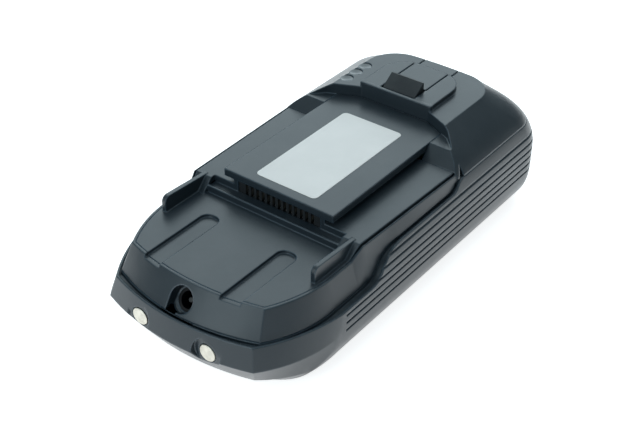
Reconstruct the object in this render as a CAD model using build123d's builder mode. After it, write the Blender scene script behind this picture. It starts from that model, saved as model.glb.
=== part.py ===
from build123d import *
import math
import os

os.makedirs("parts", exist_ok=True)

# Slide-in battery pack for a cordless vacuum cleaner.
# Millimetres, +Z up, nose towards -Y, release latch towards +Y.
# The origin is the centre of the footprint on the surface that the pack rests on.

# Overall housing, as wide as the cells that lie across it need
body_length = 180.8
cell_length = 65.0
cell_side_room = 11.8
half_width = cell_length / 2 + cell_side_room
wall = 2.2
base_fillet = 14.0
corner_radius = 14.5
nose_y = -body_length / 2
rear_y = body_length / 2
seam = 0.1

# Nose in plan: a bowed front and two bowed cheeks that run into the straight sides
nose_corner = (half_width - 11.4, nose_y + 5.6)
cheek_mid = (half_width - 3.7, nose_y + 18.3)
cheek_end_y = nose_y + 39.8
nose_lean = 2.7
band_z = 16.5
# Bevel under the nose band: height and undercut of its two lower edges
nose_bevel = ((0.0, 15.0), (7.0, 6.4))
draft = 3.0
rim_z = 24.8
rim_flange = 3.9
rim_flange_height = 3.0
# Share of an inset that moves the nose corner and the middle of the cheek
corner_pull = (0.67, 0.83)
cheek_pull = (0.93, 0.36)
bevel_cheek_pull = (0.31, 0.55)
# Groove between the rim of the tub and the foot of the slopes
rim_edge = 0.9
moat_depth = 1.4

# Rim of the tub along its length: low at the nose, an S up to the sides, another up to the rear
side_rim_z = 34.3
rear_rim_z = 37.5
s_curve = (-34.0, -13.5)
s_steepness = (8.5, 15.0)
rear_step = (19.0, 29.0)

# Barrel section of the upper body: height, half width, rear end and corner radius
barrel = (
    (rim_z, half_width, rear_y, corner_radius),
    (34.0, half_width - 1.3, rear_y - 1.2, corner_radius),
    (40.5, half_width - 4.7, rear_y - 4.4, corner_radius),
    (46.0, half_width - 11.1, rear_y - 9.2, corner_radius),
    (50.1, half_width - 17.7, rear_y - 13.0, 14.0),
)
crown_z = barrel[-1][0]
rear_bow = 1.6

# Grooves moulded along the sides of the tub
groove_count = 6
groove_first_z = 16.0
groove_pitch = 3.22
groove_width = 0.9
groove_depth = 0.55
groove_front_y = nose_y + 41.4

# Deck that slides into the cleaner
deck_z = 35.3
deck_wall = 2.2
deck_half_width = half_width - 6.8
deck_nose_y = nose_y + 11.6
deck_corner = (deck_half_width - 7.7, nose_y + 15.8)
deck_cheek_mid = (deck_half_width - 2.3, nose_y + 28.0)
foot_half_width = deck_half_width + 3.3
foot_nose_y = nose_y + 4.7
foot_corner = (foot_half_width - 9.2, nose_y + 11.0)
foot_cheek_mid = (foot_half_width - 2.4, nose_y + 24.0)
# Place along the side where the bowed cheeks of deck and slope end
cheek_crease_y = nose_y + 40.9
deck_rim = 1.0
deck_ledge = 3.0
ledge_thickness = 1.8

# Two guide grooves in the deck
guide_x = 17.6
guide_width = 7.9
guide_depth = 1.2
guide_end_y = -45.2

# Guide fins
fin_x = deck_half_width - 3.7
fin_thickness = 1.8
fin_front_y = -54.1
fin_rear_y = -31.0
fin_front_top = 41.5
fin_rear_top = 40.4
fin_nose_radius = 2.4
fin_root = 0.5

# Step, lip and side decks
lip_y = -34.9
lip_half_width = fin_x - 3.7
lip_top = 38.05
lip_thickness = 1.0
trough_z = 37.4
step_y = -30.4
side_deck_z = 40.2
side_deck_edge = (deck_half_width - 0.1, deck_half_width + 1.5)
side_deck_rear_y = 25.0
slit = 0.9
shoulder_top_z = 39.7
shoulder_foot_x = foot_half_width + 0.5
shoulder_crest = 0.3
shoulder_rear_y = 27.0
ramp_foot_y = -37.2
ramp_top_y = -32.4

# Raised rail plate
plate_half_width = 24.8
plate_front_y = -30.9
plate_top = 45.5
plate_thickness = 3.0
stem_half_width = 20.8
stem_wall = 2.0

# Rear wall of the mating bay
bay_wall_y = 42.5
bay_half_width = 15.75
bay_knee = (28.5, 36.5)
bay_elbow = (deck_half_width - 4.0, 31.5)
bay_mouth = (deck_half_width + 0.5, 29.3)
bay_floor_z = 45.5
facet_top_y = 30.0
ridge_top = 52.2
ridge_thickness = 1.5
corner_post_radius = 1.1

# Pad round the latch
pad_top = 52.1
pad_half_width = 16.5
pad_rear_y = 69.4
pad_corner = 11.0

# Release lever, its hook, pin and spring
lever_half_width = 7.8
lever_gap = 0.55
lever_front_y = 52.6
lever_rear_y = 82.0
lever_wall = 2.0
lever_window_z = 44.0
arm_half_width = 6.0
lug_y = 64.0
lug_length = 3.0
lug_half_width = 9.4
lug_thickness = 1.8
hook_half_width = 7.5
hook_front_y = 45.2
hook_rear_y = 52.0
hook_foot_z = 51.6
hook_top_z = 55.7
hook_gap = 1.1
peg_x = 3.6
peg_y = (hook_front_y + hook_rear_y) / 2
peg_radius = 1.2
pivot_y = 76.0
pivot_z = 44.6
pin_diameter = 2.0
pin_clearance = 0.05
pin_length = 22.6
barrel_radius = 2.2
barrel_gap = 6.0
spring_y = 58.5
spring_radius = 3.0
spring_wire = 0.7
spring_turns = 5
stud_length = 1.6
stud_clearance = 0.35

# Bracket that carries the pin and the spring
bracket_z = 38.0
bracket_thickness = 2.0
bracket_half_width = 12.0
bracket_front_y = 51.5
bracket_rear_y = 81.0
bracket_ear_x = 16.0
bracket_ear_y = 62.0
bracket_boss_radius = 3.0
cheek_x = 8.6
cheek_thickness = 2.0
cheek_radius = 2.0

# Connector
contact_pitch = 2.5
slot_count = 13
connector_half_width = 18.8
connector_bottom = 36.0
connector_top = 42.3
connector_front_y = -29.9
connector_rear_y = -20.5
comb_rib = 1.0
comb_depth = 3.2
comb_floor = 0.9
blade_width = 0.9
blade_thickness = 0.3
blade_rise = 3.6
blade_reach = 1.2

# Charging jack on the nose slope
jack_hole = 9.8
jack_height = 29.6
jack_body = 8.4
jack_length = 13.0
jack_bore = 6.4
jack_pin_diameter = 2.1
jack_depth = 4.5
jack_guide = 4.3
jack_seat_clearance = 0.06
jack_back = 2.5
jack_pin_set = 1.0
jack_tail = 3.0
key_width = 4.4
key_drop = 6.6
key_depth = 4.0
sleeve_length = 10.0
sleeve_wall = 1.3
sleeve_clearance = 0.3

# Dock contacts
dock_x = 15.4
dock_z = 17.7
dock_diameter = 6.7
dock_recess = 11.4
dock_recess_depth = 1.8
dock_stem = 3.0
dock_proud = 0.3
dock_pocket_depth = 0.8
dock_ring = 0.35
dock_boss_depth = 5.2
dock_stem_end = 1.5
stem_clearance = 0.1
tag_thickness = 0.5

# Cells
cell_count = 7
cell_diameter = 18.3
cell_gap = 0.3
cell_row_rise = 9.4
cell_first_z = 12.6
cell_centre_y = 10.0
holder_wall = 1.15
holder_grip = 6.5
holder_bottom_z = 2.5
holder_clearance = 0.1
strip_width = 8.0
strip_thickness = 0.2
strip_tab = 4.0
sheet_thickness = 0.3
foam_x = 14.0
foam_width = 12.0
bead_x = -8.0
bead_radius = 1.5

# Control board, on posts over two of the cells
board_z = 34.4
board_thickness = 1.6
board_edge = 2.25
board_half_width = (cell_length - holder_grip) / 2 + board_edge
board_rear_y = 40.0
board_clearance = 0.3
board_post_cells = (2, 4)
board_post_radius = 2.5

# Wires
lead_radius = 0.9
lead_offset = 1.6
thin_lead_radius = 0.7
ribbon_y = 47.0

# Casing screws, driven from below, and small screws for the board and the bracket
side_screw_x = half_width - 7.9
screw_places = ((-24, -66), (24, -66), (-side_screw_x, 10), (side_screw_x, 10), (-29, 76), (29, 76))
screw_boss_radius = 3.2
screw_joint_z = 20.0
screw_seat_z = 8.0
screw_head = 4.4
screw_head_height = 2.0
screw_thread = 2.4
screw_grip = 12.0
head_clearance = 0.2
shank_clearance = 0.15
thread_clearance = 0.02
small_thread = 2.0
small_screw_length = 5.0
small_screw_head = 3.8
small_head_height = 1.3

# Charge lamps
lamp_x = -24.9
lamp_y = 51.1
lamp_pitch = 6.4
lamp_count = 3
lamp_diameter = 5.6
lamp_fit = 0.1
lamp_chip = 0.4
lens_top = 49.7
lens_dish_radius = 6.0
lens_dish = 0.45
indicator_z = 43.4
indicator_thickness = 1.2
indicator_posts = ((-21.6, 47.9), (-21.6, 54.3))
indicator_post_radius = 1.2

# Label
label_half_width = 13.7
label_front_y = -26.7
label_rear_y = 28.5
label_radius = 2.0
label_thickness = 0.15

# Places worked out from the values above
nose_radius = (nose_corner[0] ** 2 + (nose_corner[1] - nose_y) ** 2) / (2 * (nose_corner[1] - nose_y))
dock_face_y = nose_y + nose_radius - math.sqrt(nose_radius ** 2 - dock_x ** 2)
deck_seat_z = deck_z - deck_wall
side_seat_z = side_deck_z - deck_wall
deck_flare = (side_deck_edge[1] - side_deck_edge[0]) / (side_deck_rear_y - ramp_top_y)


# Plan outline of the housing from nose to rear, drawn in from the largest outline by inset
def plan_outline(inset, lean=0.0, undercut=0.0):
    pull = inset + lean
    corner = (nose_corner[0] - corner_pull[0] * (pull + undercut),
              nose_corner[1] + corner_pull[1] * (pull + undercut))
    cheek = (cheek_mid[0] - cheek_pull[0] * pull - bevel_cheek_pull[0] * undercut,
             cheek_mid[1] + cheek_pull[1] * pull + bevel_cheek_pull[1] * undercut)
    front = nose_y + pull + undercut
    side = half_width - inset
    back = rear_y - inset
    with BuildSketch() as outline:
        with BuildLine():
            ThreePointArc((-corner[0], corner[1]), (0, front), corner)
            ThreePointArc(corner, cheek, (side, cheek_end_y))
            Line((side, cheek_end_y), (side, back - rear_bow))
            ThreePointArc((side, back - rear_bow), (0, back), (-side, back - rear_bow))
            Line((-side, back - rear_bow), (-side, cheek_end_y))
            ThreePointArc((-side, cheek_end_y), (-cheek[0], cheek[1]), (-corner[0], corner[1]))
        make_face()
        fillet(outline.vertices().group_by(Axis.Y)[-1], corner_radius - inset)
    return outline.sketch


# Plan outline of the barrel-shaped upper body at one of its levels
def barrel_outline(half, back, radius, front):
    with BuildSketch() as outline:
        with BuildLine():
            Line((-half, front), (half, front))
            Line((half, front), (half, back - rear_bow))
            ThreePointArc((half, back - rear_bow), (0, back), (-half, back - rear_bow))
            Line((-half, back - rear_bow), (-half, front))
        make_face()
        fillet(outline.vertices().group_by(Axis.Y)[-1], radius)
    return outline.sketch


# Outer form of the whole housing, or the hollow inside it when it is drawn in by a wall
def housing_form(inset=0.0, taper=0.0):
    with BuildPart() as form:
        with BuildSketch(Plane.XY.offset(band_z)):
            add(plan_outline(inset))
        extrude(amount=inset - band_z, taper=taper)
        fillet(form.faces().sort_by(Axis.Z)[0].edges(), base_fillet - inset)
        for level, undercut in nose_bevel:
            with BuildSketch(Plane.XY.offset(level)):
                add(plan_outline(inset, undercut=undercut))
        with BuildSketch(Plane.XY.offset(band_z)):
            add(plan_outline(inset))
        loft(ruled=True, mode=Mode.INTERSECT)
        with BuildSketch(Plane.XY.offset(band_z)):
            add(plan_outline(inset))
        with BuildSketch(Plane.XY.offset(rim_z)):
            add(plan_outline(inset, nose_lean))
        loft(ruled=True)
        for level, half, back, radius in barrel:
            drop = inset if level == crown_z else 0
            with BuildSketch(Plane.XY.offset(level - drop)):
                add(barrel_outline(half - inset, back - inset, radius - inset, s_curve[0]))
        loft()
    return form.part


# Everything on or under the rim, seen from the side: it belongs to the tub
def under_rim(lift=0.0):
    front = nose_y - 10
    with BuildPart() as block:
        with BuildSketch(Plane.YZ):
            with BuildLine():
                Line((front, rim_z + lift), (s_curve[0], rim_z + lift))
                Bezier((s_curve[0], rim_z + lift), (s_curve[0] + s_steepness[0], rim_z + lift),
                       (s_curve[1] - s_steepness[1], side_rim_z + lift), (s_curve[1], side_rim_z + lift))
                Line((s_curve[1], side_rim_z + lift), (rear_step[0], side_rim_z + lift))
                Bezier((rear_step[0], side_rim_z + lift), (rear_step[0] + 5, side_rim_z + lift),
                       (rear_step[1] - 5, rear_rim_z + lift), (rear_step[1], rear_rim_z + lift))
                Line((rear_step[1], rear_rim_z + lift), (rear_y + 10, rear_rim_z + lift))
                Line((rear_y + 10, rear_rim_z + lift), (rear_y + 10, -10))
                Line((rear_y + 10, -10), (front, -10))
                Line((front, -10), (front, rim_z + lift))
            make_face()
        extrude(amount=half_width + 5, both=True)
    return block.part


# Outline with a bowed nose and cheeks, straight sides and a straight rear, for the deck and its slopes
def nose_outline(front, corner, cheek, half, cheek_end, rear, inset):
    inner_corner = (corner[0] - corner_pull[0] * inset, corner[1] + corner_pull[1] * inset)
    inner_cheek = (cheek[0] - cheek_pull[0] * inset, cheek[1] + cheek_pull[1] * inset)
    side = half - inset
    with BuildSketch() as outline:
        with BuildLine():
            ThreePointArc((-inner_corner[0], inner_corner[1]), (0, front + inset), inner_corner)
            ThreePointArc(inner_corner, inner_cheek, (side, cheek_end))
            Line((side, cheek_end), (side, rear))
            Line((side, rear), (-side, rear))
            Line((-side, rear), (-side, cheek_end))
            ThreePointArc((-side, cheek_end), (-inner_cheek[0], inner_cheek[1]),
                          (-inner_corner[0], inner_corner[1]))
        make_face()
    return outline.sketch


def deck_outline(inset, rear):
    return nose_outline(deck_nose_y, deck_corner, deck_cheek_mid, deck_half_width, cheek_crease_y,
                        rear, inset)


def foot_outline(inset, rear):
    return nose_outline(foot_nose_y, foot_corner, foot_cheek_mid, foot_half_width, cheek_crease_y,
                        rear, inset)


# Slope that rises from the nose band to the deck, as a solid drawn in by inset
def slope_form(inset):
    with BuildPart() as form:
        with BuildSketch(Plane.XY.offset(rim_z)):
            add(foot_outline(inset, ramp_foot_y))
        with BuildSketch(Plane.XY.offset(deck_z)):
            add(deck_outline(inset, ramp_foot_y))
        loft(ruled=True)
    return form.part


# Space behind the walls of the mating bay, drawn in by inset
def behind_bay(inset):
    reach = half_width + 5
    with BuildPart() as block:
        with BuildSketch(Plane.XY.offset(side_rim_z)):
            with BuildLine():
                Polyline((-bay_half_width, bay_wall_y), (bay_half_width, bay_wall_y), bay_knee,
                         bay_elbow, bay_mouth, (reach, bay_mouth[1] - 1), (reach, rear_y + 5),
                         (-reach, rear_y + 5), (-reach, bay_mouth[1] - 1), (-bay_mouth[0], bay_mouth[1]),
                         (-bay_elbow[0], bay_elbow[1]), (-bay_knee[0], bay_knee[1]),
                         (-bay_half_width, bay_wall_y))
            make_face()
            if inset:
                offset(amount=-inset, kind=Kind.INTERSECTION)
        extrude(amount=pad_top - side_rim_z + 10)
    return block.part


# Raised pad round the latch, drawn in by inset
def pad_form(inset):
    with BuildPart() as form:
        with BuildSketch(Plane.XY.offset(crown_z - wall)) as plan:
            with Locations((0, (bay_wall_y + pad_rear_y) / 2)):
                Rectangle(2 * (pad_half_width - inset), pad_rear_y - bay_wall_y - 2 * inset)
            fillet(plan.vertices().group_by(Axis.Y)[-1], pad_corner - inset)
        extrude(amount=pad_top - inset - crown_z + wall)
    return form.part


# Cross-section of the side that carries the deck: outer face, rim and the ledge under the deck's edge
def side_section(y, foot_x, top_x, inner_x, top_z, ledge_top):
    lean = (foot_x - top_x) / (top_z - rim_z)
    ledge_bottom = ledge_top - ledge_thickness
    under_x = foot_x - lean * (ledge_bottom - rim_z) - wall
    with BuildSketch(Plane.XZ.offset(-y)) as section:
        with BuildLine():
            Polyline((foot_x, rim_z), (top_x, top_z), (inner_x, top_z), (inner_x, ledge_top),
                     (inner_x - deck_ledge, ledge_top), (inner_x - deck_ledge, ledge_bottom),
                     (under_x, ledge_bottom), (foot_x - wall, rim_z), (foot_x, rim_z))
        make_face()
    return section.sketch


# Insulated wire along straight runs joined by bends
def lead(points, bend, radius):
    with BuildPart() as run:
        with BuildLine() as path:
            FilletPolyline(*points, radius=bend)
        with BuildSketch(Plane(origin=path.line @ 0, z_dir=path.line % 0)):
            Circle(radius)
        sweep()
    return run.part


outer_form = housing_form(taper=draft)
inner_form = housing_form(wall)

# Thin skin of the housing, cut into the grooves that run along the sides and round the rear
with BuildPart() as side_grooves:
    for index in range(groove_count):
        with BuildSketch(Plane.XY.offset(groove_first_z + index * groove_pitch)):
            with Locations((0, (groove_front_y + rear_y + 5) / 2)):
                Rectangle(2 * half_width + 10, rear_y + 5 - groove_front_y)
        extrude(amount=groove_width)
    add(outer_form, mode=Mode.INTERSECT)
    add(housing_form(groove_depth), mode=Mode.SUBTRACT)

# Flange inside the rim of the tub, which the upper housing stands on
with BuildPart() as inner_flange:
    add(inner_form)
    add(housing_form(rim_flange), mode=Mode.SUBTRACT)
    add(under_rim(-rim_flange_height), mode=Mode.SUBTRACT)
    with BuildSketch(Plane.XY.offset(rim_z - rim_flange_height - 1)):
        with Locations((0, nose_y)):
            Rectangle(jack_hole + 2 * sleeve_wall + 2, 20)
    extrude(amount=rim_flange_height + 2, mode=Mode.SUBTRACT)

# Groove round the foot of the slopes, behind the rim
with BuildPart() as rim_moat:
    add(housing_form(rim_edge))
    add(under_rim(-moat_depth), mode=Mode.SUBTRACT)
    with BuildSketch(Plane.XY.offset(rim_z - 5)):
        add(foot_outline(0, bay_mouth[1]))
    extrude(amount=rear_rim_z - rim_z + 10, mode=Mode.SUBTRACT)
    with BuildSketch(Plane.XY.offset(rim_z - 5)):
        with Locations((0, (nose_y + rear_step[0]) / 2)):
            Rectangle(2 * half_width + 10, rear_step[0] - nose_y + 20)
    extrude(amount=rear_rim_z - rim_z + 10, mode=Mode.INTERSECT)

# Lower tub: bottom, nose band and grooved sides
with BuildPart() as lower_tub:
    add(outer_form)
    add(inner_form, mode=Mode.SUBTRACT)
    add(inner_flange.part)
    # Bosses for the dock contacts and the casing screws
    with BuildSketch(Plane.XZ.offset(-dock_face_y - dock_boss_depth)):
        with Locations((-dock_x, dock_z), (dock_x, dock_z)):
            Circle(dock_recess / 2 + 1)
    extrude(amount=dock_boss_depth)
    with BuildSketch():
        with Locations(*screw_places):
            Circle(screw_boss_radius)
    extrude(amount=screw_joint_z)
    add(outer_form, mode=Mode.INTERSECT)
    add(under_rim(), mode=Mode.INTERSECT)
    add(side_grooves.part, mode=Mode.SUBTRACT)
    add(rim_moat.part, mode=Mode.SUBTRACT)
    # Round recess in front of each dock contact, with a pocket for the disc and a hole for its stem
    with BuildSketch(Plane.XZ.offset(-dock_face_y - dock_recess_depth)):
        with Locations((-dock_x, dock_z), (dock_x, dock_z)):
            Circle(dock_recess / 2)
    extrude(amount=dock_recess_depth + 5, mode=Mode.SUBTRACT)
    with BuildSketch(Plane.XZ.offset(-dock_face_y - dock_recess_depth)):
        with Locations((-dock_x, dock_z), (dock_x, dock_z)):
            Circle(dock_diameter / 2 + dock_ring)
    extrude(amount=-dock_pocket_depth, mode=Mode.SUBTRACT)
    with BuildSketch(Plane.XZ.offset(-dock_face_y)):
        with Locations((-dock_x, dock_z), (dock_x, dock_z)):
            Circle(dock_stem / 2 + stem_clearance)
    extrude(amount=-dock_boss_depth - 1, mode=Mode.SUBTRACT)
    # Counterbores and clearance holes of the casing screws
    with BuildSketch():
        with Locations(*screw_places):
            Circle(screw_head / 2 + head_clearance)
    extrude(amount=screw_seat_z, mode=Mode.SUBTRACT)
    with BuildSketch():
        with Locations(*screw_places):
            Circle(screw_thread / 2 + shank_clearance)
    extrude(amount=screw_joint_z, mode=Mode.SUBTRACT)
lower_tub.part.label = "lower_tub"

# Hollow under the slope, up to the ledge that carries the deck
with BuildPart() as slope_hollow:
    add(slope_form(wall))
    split(bisect_by=Plane.XY.offset(deck_z - deck_wall - ledge_thickness), keep=Keep.BOTTOM)

# Slope round the nose, with a seat and a ledge for the deck
with BuildPart() as nose_slope:
    add(slope_form(0))
    add(slope_hollow.part, mode=Mode.SUBTRACT)
    with BuildSketch(Plane.XY.offset(deck_z - deck_wall - ledge_thickness)):
        add(deck_outline(deck_rim + deck_ledge, ramp_foot_y))
    extrude(amount=ledge_thickness, mode=Mode.SUBTRACT)
    with BuildSketch(Plane.XY.offset(deck_z - deck_wall)):
        add(deck_outline(deck_rim, ramp_foot_y))
    extrude(amount=deck_wall, mode=Mode.SUBTRACT)

# Right side behind the slope: it ramps up with the deck and runs back as a shoulder
with BuildPart() as shoulder:
    add(side_section(ramp_foot_y, foot_half_width, deck_half_width, deck_half_width - deck_rim,
                     deck_z, deck_seat_z))
    for y, foot_x in ((ramp_top_y, foot_half_width + 0.1), (s_curve[1], None), (shoulder_rear_y, None)):
        edge = side_deck_edge[0] + deck_flare * (y - ramp_top_y) + slit
        lean = (shoulder_foot_x - edge - shoulder_crest) / (shoulder_top_z - side_rim_z)
        if foot_x is None:
            foot_x = shoulder_foot_x + lean * (side_rim_z - rim_z)
        add(side_section(y, foot_x, edge + shoulder_crest, edge, shoulder_top_z, side_seat_z))
    loft(ruled=True)

# Walls of the mating bay
with BuildPart() as bay_wall:
    add(behind_bay(0))
    add(behind_bay(wall), mode=Mode.SUBTRACT)
    add(outer_form, mode=Mode.INTERSECT)

# Dome behind the bay, with the pad round the latch
with BuildPart() as dome:
    add(outer_form)
    add(inner_form, mode=Mode.SUBTRACT)
    add(behind_bay(0), mode=Mode.INTERSECT)
    add(bay_wall.part)
    add(pad_form(0))
    add(pad_form(wall), mode=Mode.SUBTRACT)
    # Ridge along the top of the bay wall, with a round post at each end
    with BuildSketch(Plane.XY.offset(crown_z - wall)):
        with Locations((0, bay_wall_y + ridge_thickness / 2)):
            Rectangle(2 * bay_half_width, ridge_thickness)
    extrude(amount=ridge_top - crown_z + wall)
    with BuildSketch(Plane.XY.offset(bay_floor_z - wall)):
        with Locations((-bay_half_width, bay_wall_y + corner_post_radius),
                       (bay_half_width, bay_wall_y + corner_post_radius)):
            Circle(corner_post_radius)
    extrude(amount=ridge_top - bay_floor_z + wall)

# Inclined facet and floor on each side of the rail plate, in front of the dome
with BuildPart() as bay_floor:
    with BuildSketch(Plane.YZ):
        with BuildLine():
            Polyline((side_deck_rear_y, side_deck_z), (facet_top_y, bay_floor_z),
                     (bay_wall_y + wall, bay_floor_z), (bay_wall_y + wall, bay_floor_z - wall),
                     (facet_top_y + 1, bay_floor_z - wall),
                     (side_deck_rear_y + 1, side_seat_z), (side_deck_rear_y, side_seat_z),
                     (side_deck_rear_y, side_deck_z))
        make_face()
    extrude(amount=half_width, both=True)
    with BuildSketch(Plane.XY.offset(side_seat_z - 1)):
        with Locations((0, bay_wall_y / 2)):
            Rectangle(2 * (plate_half_width + seam), bay_wall_y + 30)
    extrude(amount=20, mode=Mode.SUBTRACT)
    # Ledge that carries the floor behind the rail plate
    with BuildSketch(Plane.XY.offset(bay_floor_z - wall - ledge_thickness)):
        with Locations((0, (facet_top_y + bay_wall_y + wall) / 2)):
            Rectangle(2 * (plate_half_width + deck_ledge), bay_wall_y + wall - facet_top_y)
        with Locations((0, (facet_top_y - 1 + bay_wall_y - deck_ledge) / 2)):
            Rectangle(2 * (plate_half_width - deck_ledge), bay_wall_y - deck_ledge - facet_top_y + 1,
                      mode=Mode.SUBTRACT)
    extrude(amount=ledge_thickness)
    add(outer_form, mode=Mode.INTERSECT)
    add(behind_bay(wall), mode=Mode.SUBTRACT)

# Plane of the nose slope in front of the jack, its axis pointing out of the hole
jack_y = foot_nose_y + (jack_height - rim_z) * (deck_nose_y - foot_nose_y) / (deck_z - rim_z)
slope_run = deck_nose_y - foot_nose_y
slope_rise = deck_z - rim_z
slope_length = math.hypot(slope_run, slope_rise)
jack_out = (0, -slope_rise / slope_length, slope_run / slope_length)
jack_plane = Plane(origin=(0, jack_y, jack_height), x_dir=(1, 0, 0), z_dir=jack_out)

# Sleeve behind the jack hole
with BuildPart() as jack_sleeve:
    with BuildSketch(jack_plane.offset(-sleeve_length)):
        Circle(jack_hole / 2 + sleeve_wall)
    extrude(amount=sleeve_length)
with BuildPart() as sleeve_room:
    add(housing_form(wall + sleeve_clearance))
    add(slope_form(0))
    with BuildSketch(Plane.XY.offset(deck_seat_z)):
        add(deck_outline(deck_rim, ramp_foot_y))
    extrude(amount=deck_wall + 1, mode=Mode.SUBTRACT)
with BuildPart() as sleeve:
    add(jack_sleeve.part)
    add(sleeve_room.part, mode=Mode.INTERSECT)

# Shell of the tub with the flange, and a seam round it
with BuildPart() as tub_room:
    add(outer_form)
    add(housing_form(rim_flange + seam), mode=Mode.SUBTRACT)
    add(under_rim(seam), mode=Mode.INTERSECT)

# Bosses above the rear and side screws, and the two that carry the latch bracket
with BuildPart() as housing_bosses:
    with BuildSketch(Plane.XY.offset(screw_joint_z)):
        with Locations(*screw_places[2:]):
            Circle(screw_boss_radius)
    extrude(amount=crown_z - wall / 2 - screw_joint_z)
    with BuildSketch(Plane.XY.offset(screw_joint_z - 1)):
        with Locations(*screw_places[2:]):
            Circle(screw_thread / 2 + thread_clearance)
    extrude(amount=screw_grip + 1, mode=Mode.SUBTRACT)
    with BuildSketch(Plane.XY.offset(side_seat_z)):
        Rectangle(2 * half_width, 2 * bay_wall_y)
    extrude(amount=20, mode=Mode.SUBTRACT)
    with BuildSketch(Plane.XY.offset(bracket_z + bracket_thickness)):
        with Locations((-bracket_ear_x, bracket_ear_y), (bracket_ear_x, bracket_ear_y)):
            Circle(bracket_boss_radius)
        with Locations((-bracket_ear_x, bracket_ear_y), (bracket_ear_x, bracket_ear_y)):
            Circle(small_thread / 2 + thread_clearance, mode=Mode.SUBTRACT)
    extrude(amount=crown_z - wall / 2 - bracket_z - bracket_thickness)
    with BuildSketch(Plane.XY.offset(indicator_z + indicator_thickness)):
        with Locations(*indicator_posts):
            Circle(indicator_post_radius)
    extrude(amount=crown_z - wall / 2 - indicator_z - indicator_thickness)
    add(outer_form, mode=Mode.INTERSECT)
    add(tub_room.part, mode=Mode.SUBTRACT)

# Upper housing: nose slope, shoulders, bay and dome in one moulding
with BuildPart() as upper_housing:
    add(nose_slope.part)
    add(shoulder.part)
    mirror(shoulder.part, about=Plane.YZ)
    add(dome.part)
    add(bay_floor.part)
    add(under_rim(seam), mode=Mode.SUBTRACT)
    add(sleeve.part)
    add(housing_bosses.part)
    # Window of the release lever, narrower in front round the hook
    with BuildSketch(Plane.XY.offset(lever_window_z)):
        with Locations((0, (lever_front_y + lever_rear_y) / 2)):
            Rectangle(2 * (lever_half_width + lever_gap), lever_rear_y - lever_front_y + 2 * lever_gap)
        with Locations((0, (hook_front_y - hook_gap + lever_front_y) / 2)):
            Rectangle(2 * (hook_half_width + lever_gap), lever_front_y - hook_front_y + hook_gap)
    extrude(amount=20, mode=Mode.SUBTRACT)
    # Holes for the charge lamps
    with BuildSketch(Plane.XY.offset(crown_z - wall - 2)):
        with Locations((lamp_x, lamp_y)):
            with GridLocations(1, lamp_pitch, 1, lamp_count):
                Circle(lamp_diameter / 2)
    extrude(amount=10, mode=Mode.SUBTRACT)
    # Charging jack: round hole and the key notch that runs down to the ledge
    with BuildSketch(jack_plane.offset(5)):
        Circle(jack_hole / 2)
    extrude(amount=-jack_guide - 5, mode=Mode.SUBTRACT)
    with BuildSketch(jack_plane.offset(-jack_guide)):
        Circle(jack_body / 2 + jack_seat_clearance)
    extrude(amount=-sleeve_length, mode=Mode.SUBTRACT)
    with BuildSketch(jack_plane.offset(5)):
        with BuildLine():
            Polyline((-jack_hole / 2, -key_drop), (-jack_hole / 2 + key_width, -key_drop),
                     (0, 0), (-jack_hole / 2, 0), (-jack_hole / 2, -key_drop))
        make_face()
    extrude(amount=-key_depth - 5, mode=Mode.SUBTRACT)
    # Open ends of the guide grooves
    with BuildSketch(Plane.XY.offset(deck_z - guide_depth)):
        with Locations((-guide_x, deck_nose_y), (guide_x, deck_nose_y)):
            Rectangle(guide_width, 20)
    extrude(amount=5, mode=Mode.SUBTRACT)
upper_housing.part.label = "upper_housing"

# Side view of the step: lip, trough and front wall across the middle of the deck
lip_rear_y = lip_y + lip_thickness
with BuildPart() as deck_step:
    with BuildSketch(Plane.YZ):
        with BuildLine():
            Polyline((ramp_foot_y, deck_seat_z), (ramp_foot_y, deck_z), (lip_y, deck_z), (lip_y, lip_top),
                     (lip_rear_y, lip_top), (lip_rear_y, trough_z), (step_y, trough_z),
                     (step_y, side_deck_z), (step_y + deck_wall, side_deck_z),
                     (step_y + deck_wall, trough_z - deck_wall), (lip_y + deck_wall, trough_z - deck_wall),
                     (lip_y + deck_wall, deck_seat_z), (ramp_foot_y, deck_seat_z))
        make_face()
    extrude(amount=lip_half_width, both=True)

# Side decks with the ramps that lead up to them
with BuildPart() as side_decks:
    with BuildSketch(Plane.YZ):
        with BuildLine():
            Polyline((ramp_foot_y, deck_seat_z), (ramp_foot_y, deck_z), (ramp_top_y, side_deck_z),
                     (side_deck_rear_y, side_deck_z), (side_deck_rear_y, side_seat_z),
                     (ramp_top_y, side_seat_z), (ramp_foot_y, deck_seat_z))
        make_face()
    extrude(amount=half_width, both=True)
    with BuildSketch(Plane.XY.offset(deck_seat_z)):
        with BuildLine():
            front_edge = deck_half_width - deck_rim - seam
            Polyline((-front_edge, ramp_foot_y), (front_edge, ramp_foot_y), (side_deck_edge[0], ramp_top_y),
                     (side_deck_edge[1], side_deck_rear_y), (-side_deck_edge[1], side_deck_rear_y),
                     (-side_deck_edge[0], ramp_top_y), (-front_edge, ramp_foot_y))
        make_face()
        with Locations((0, step_y - 10)):
            Rectangle(2 * lip_half_width, 20, mode=Mode.SUBTRACT)
        with Locations((0, side_deck_rear_y / 2)):
            Rectangle(2 * stem_half_width - 2 * stem_wall, 100, mode=Mode.SUBTRACT)
    extrude(amount=10, mode=Mode.INTERSECT)

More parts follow.
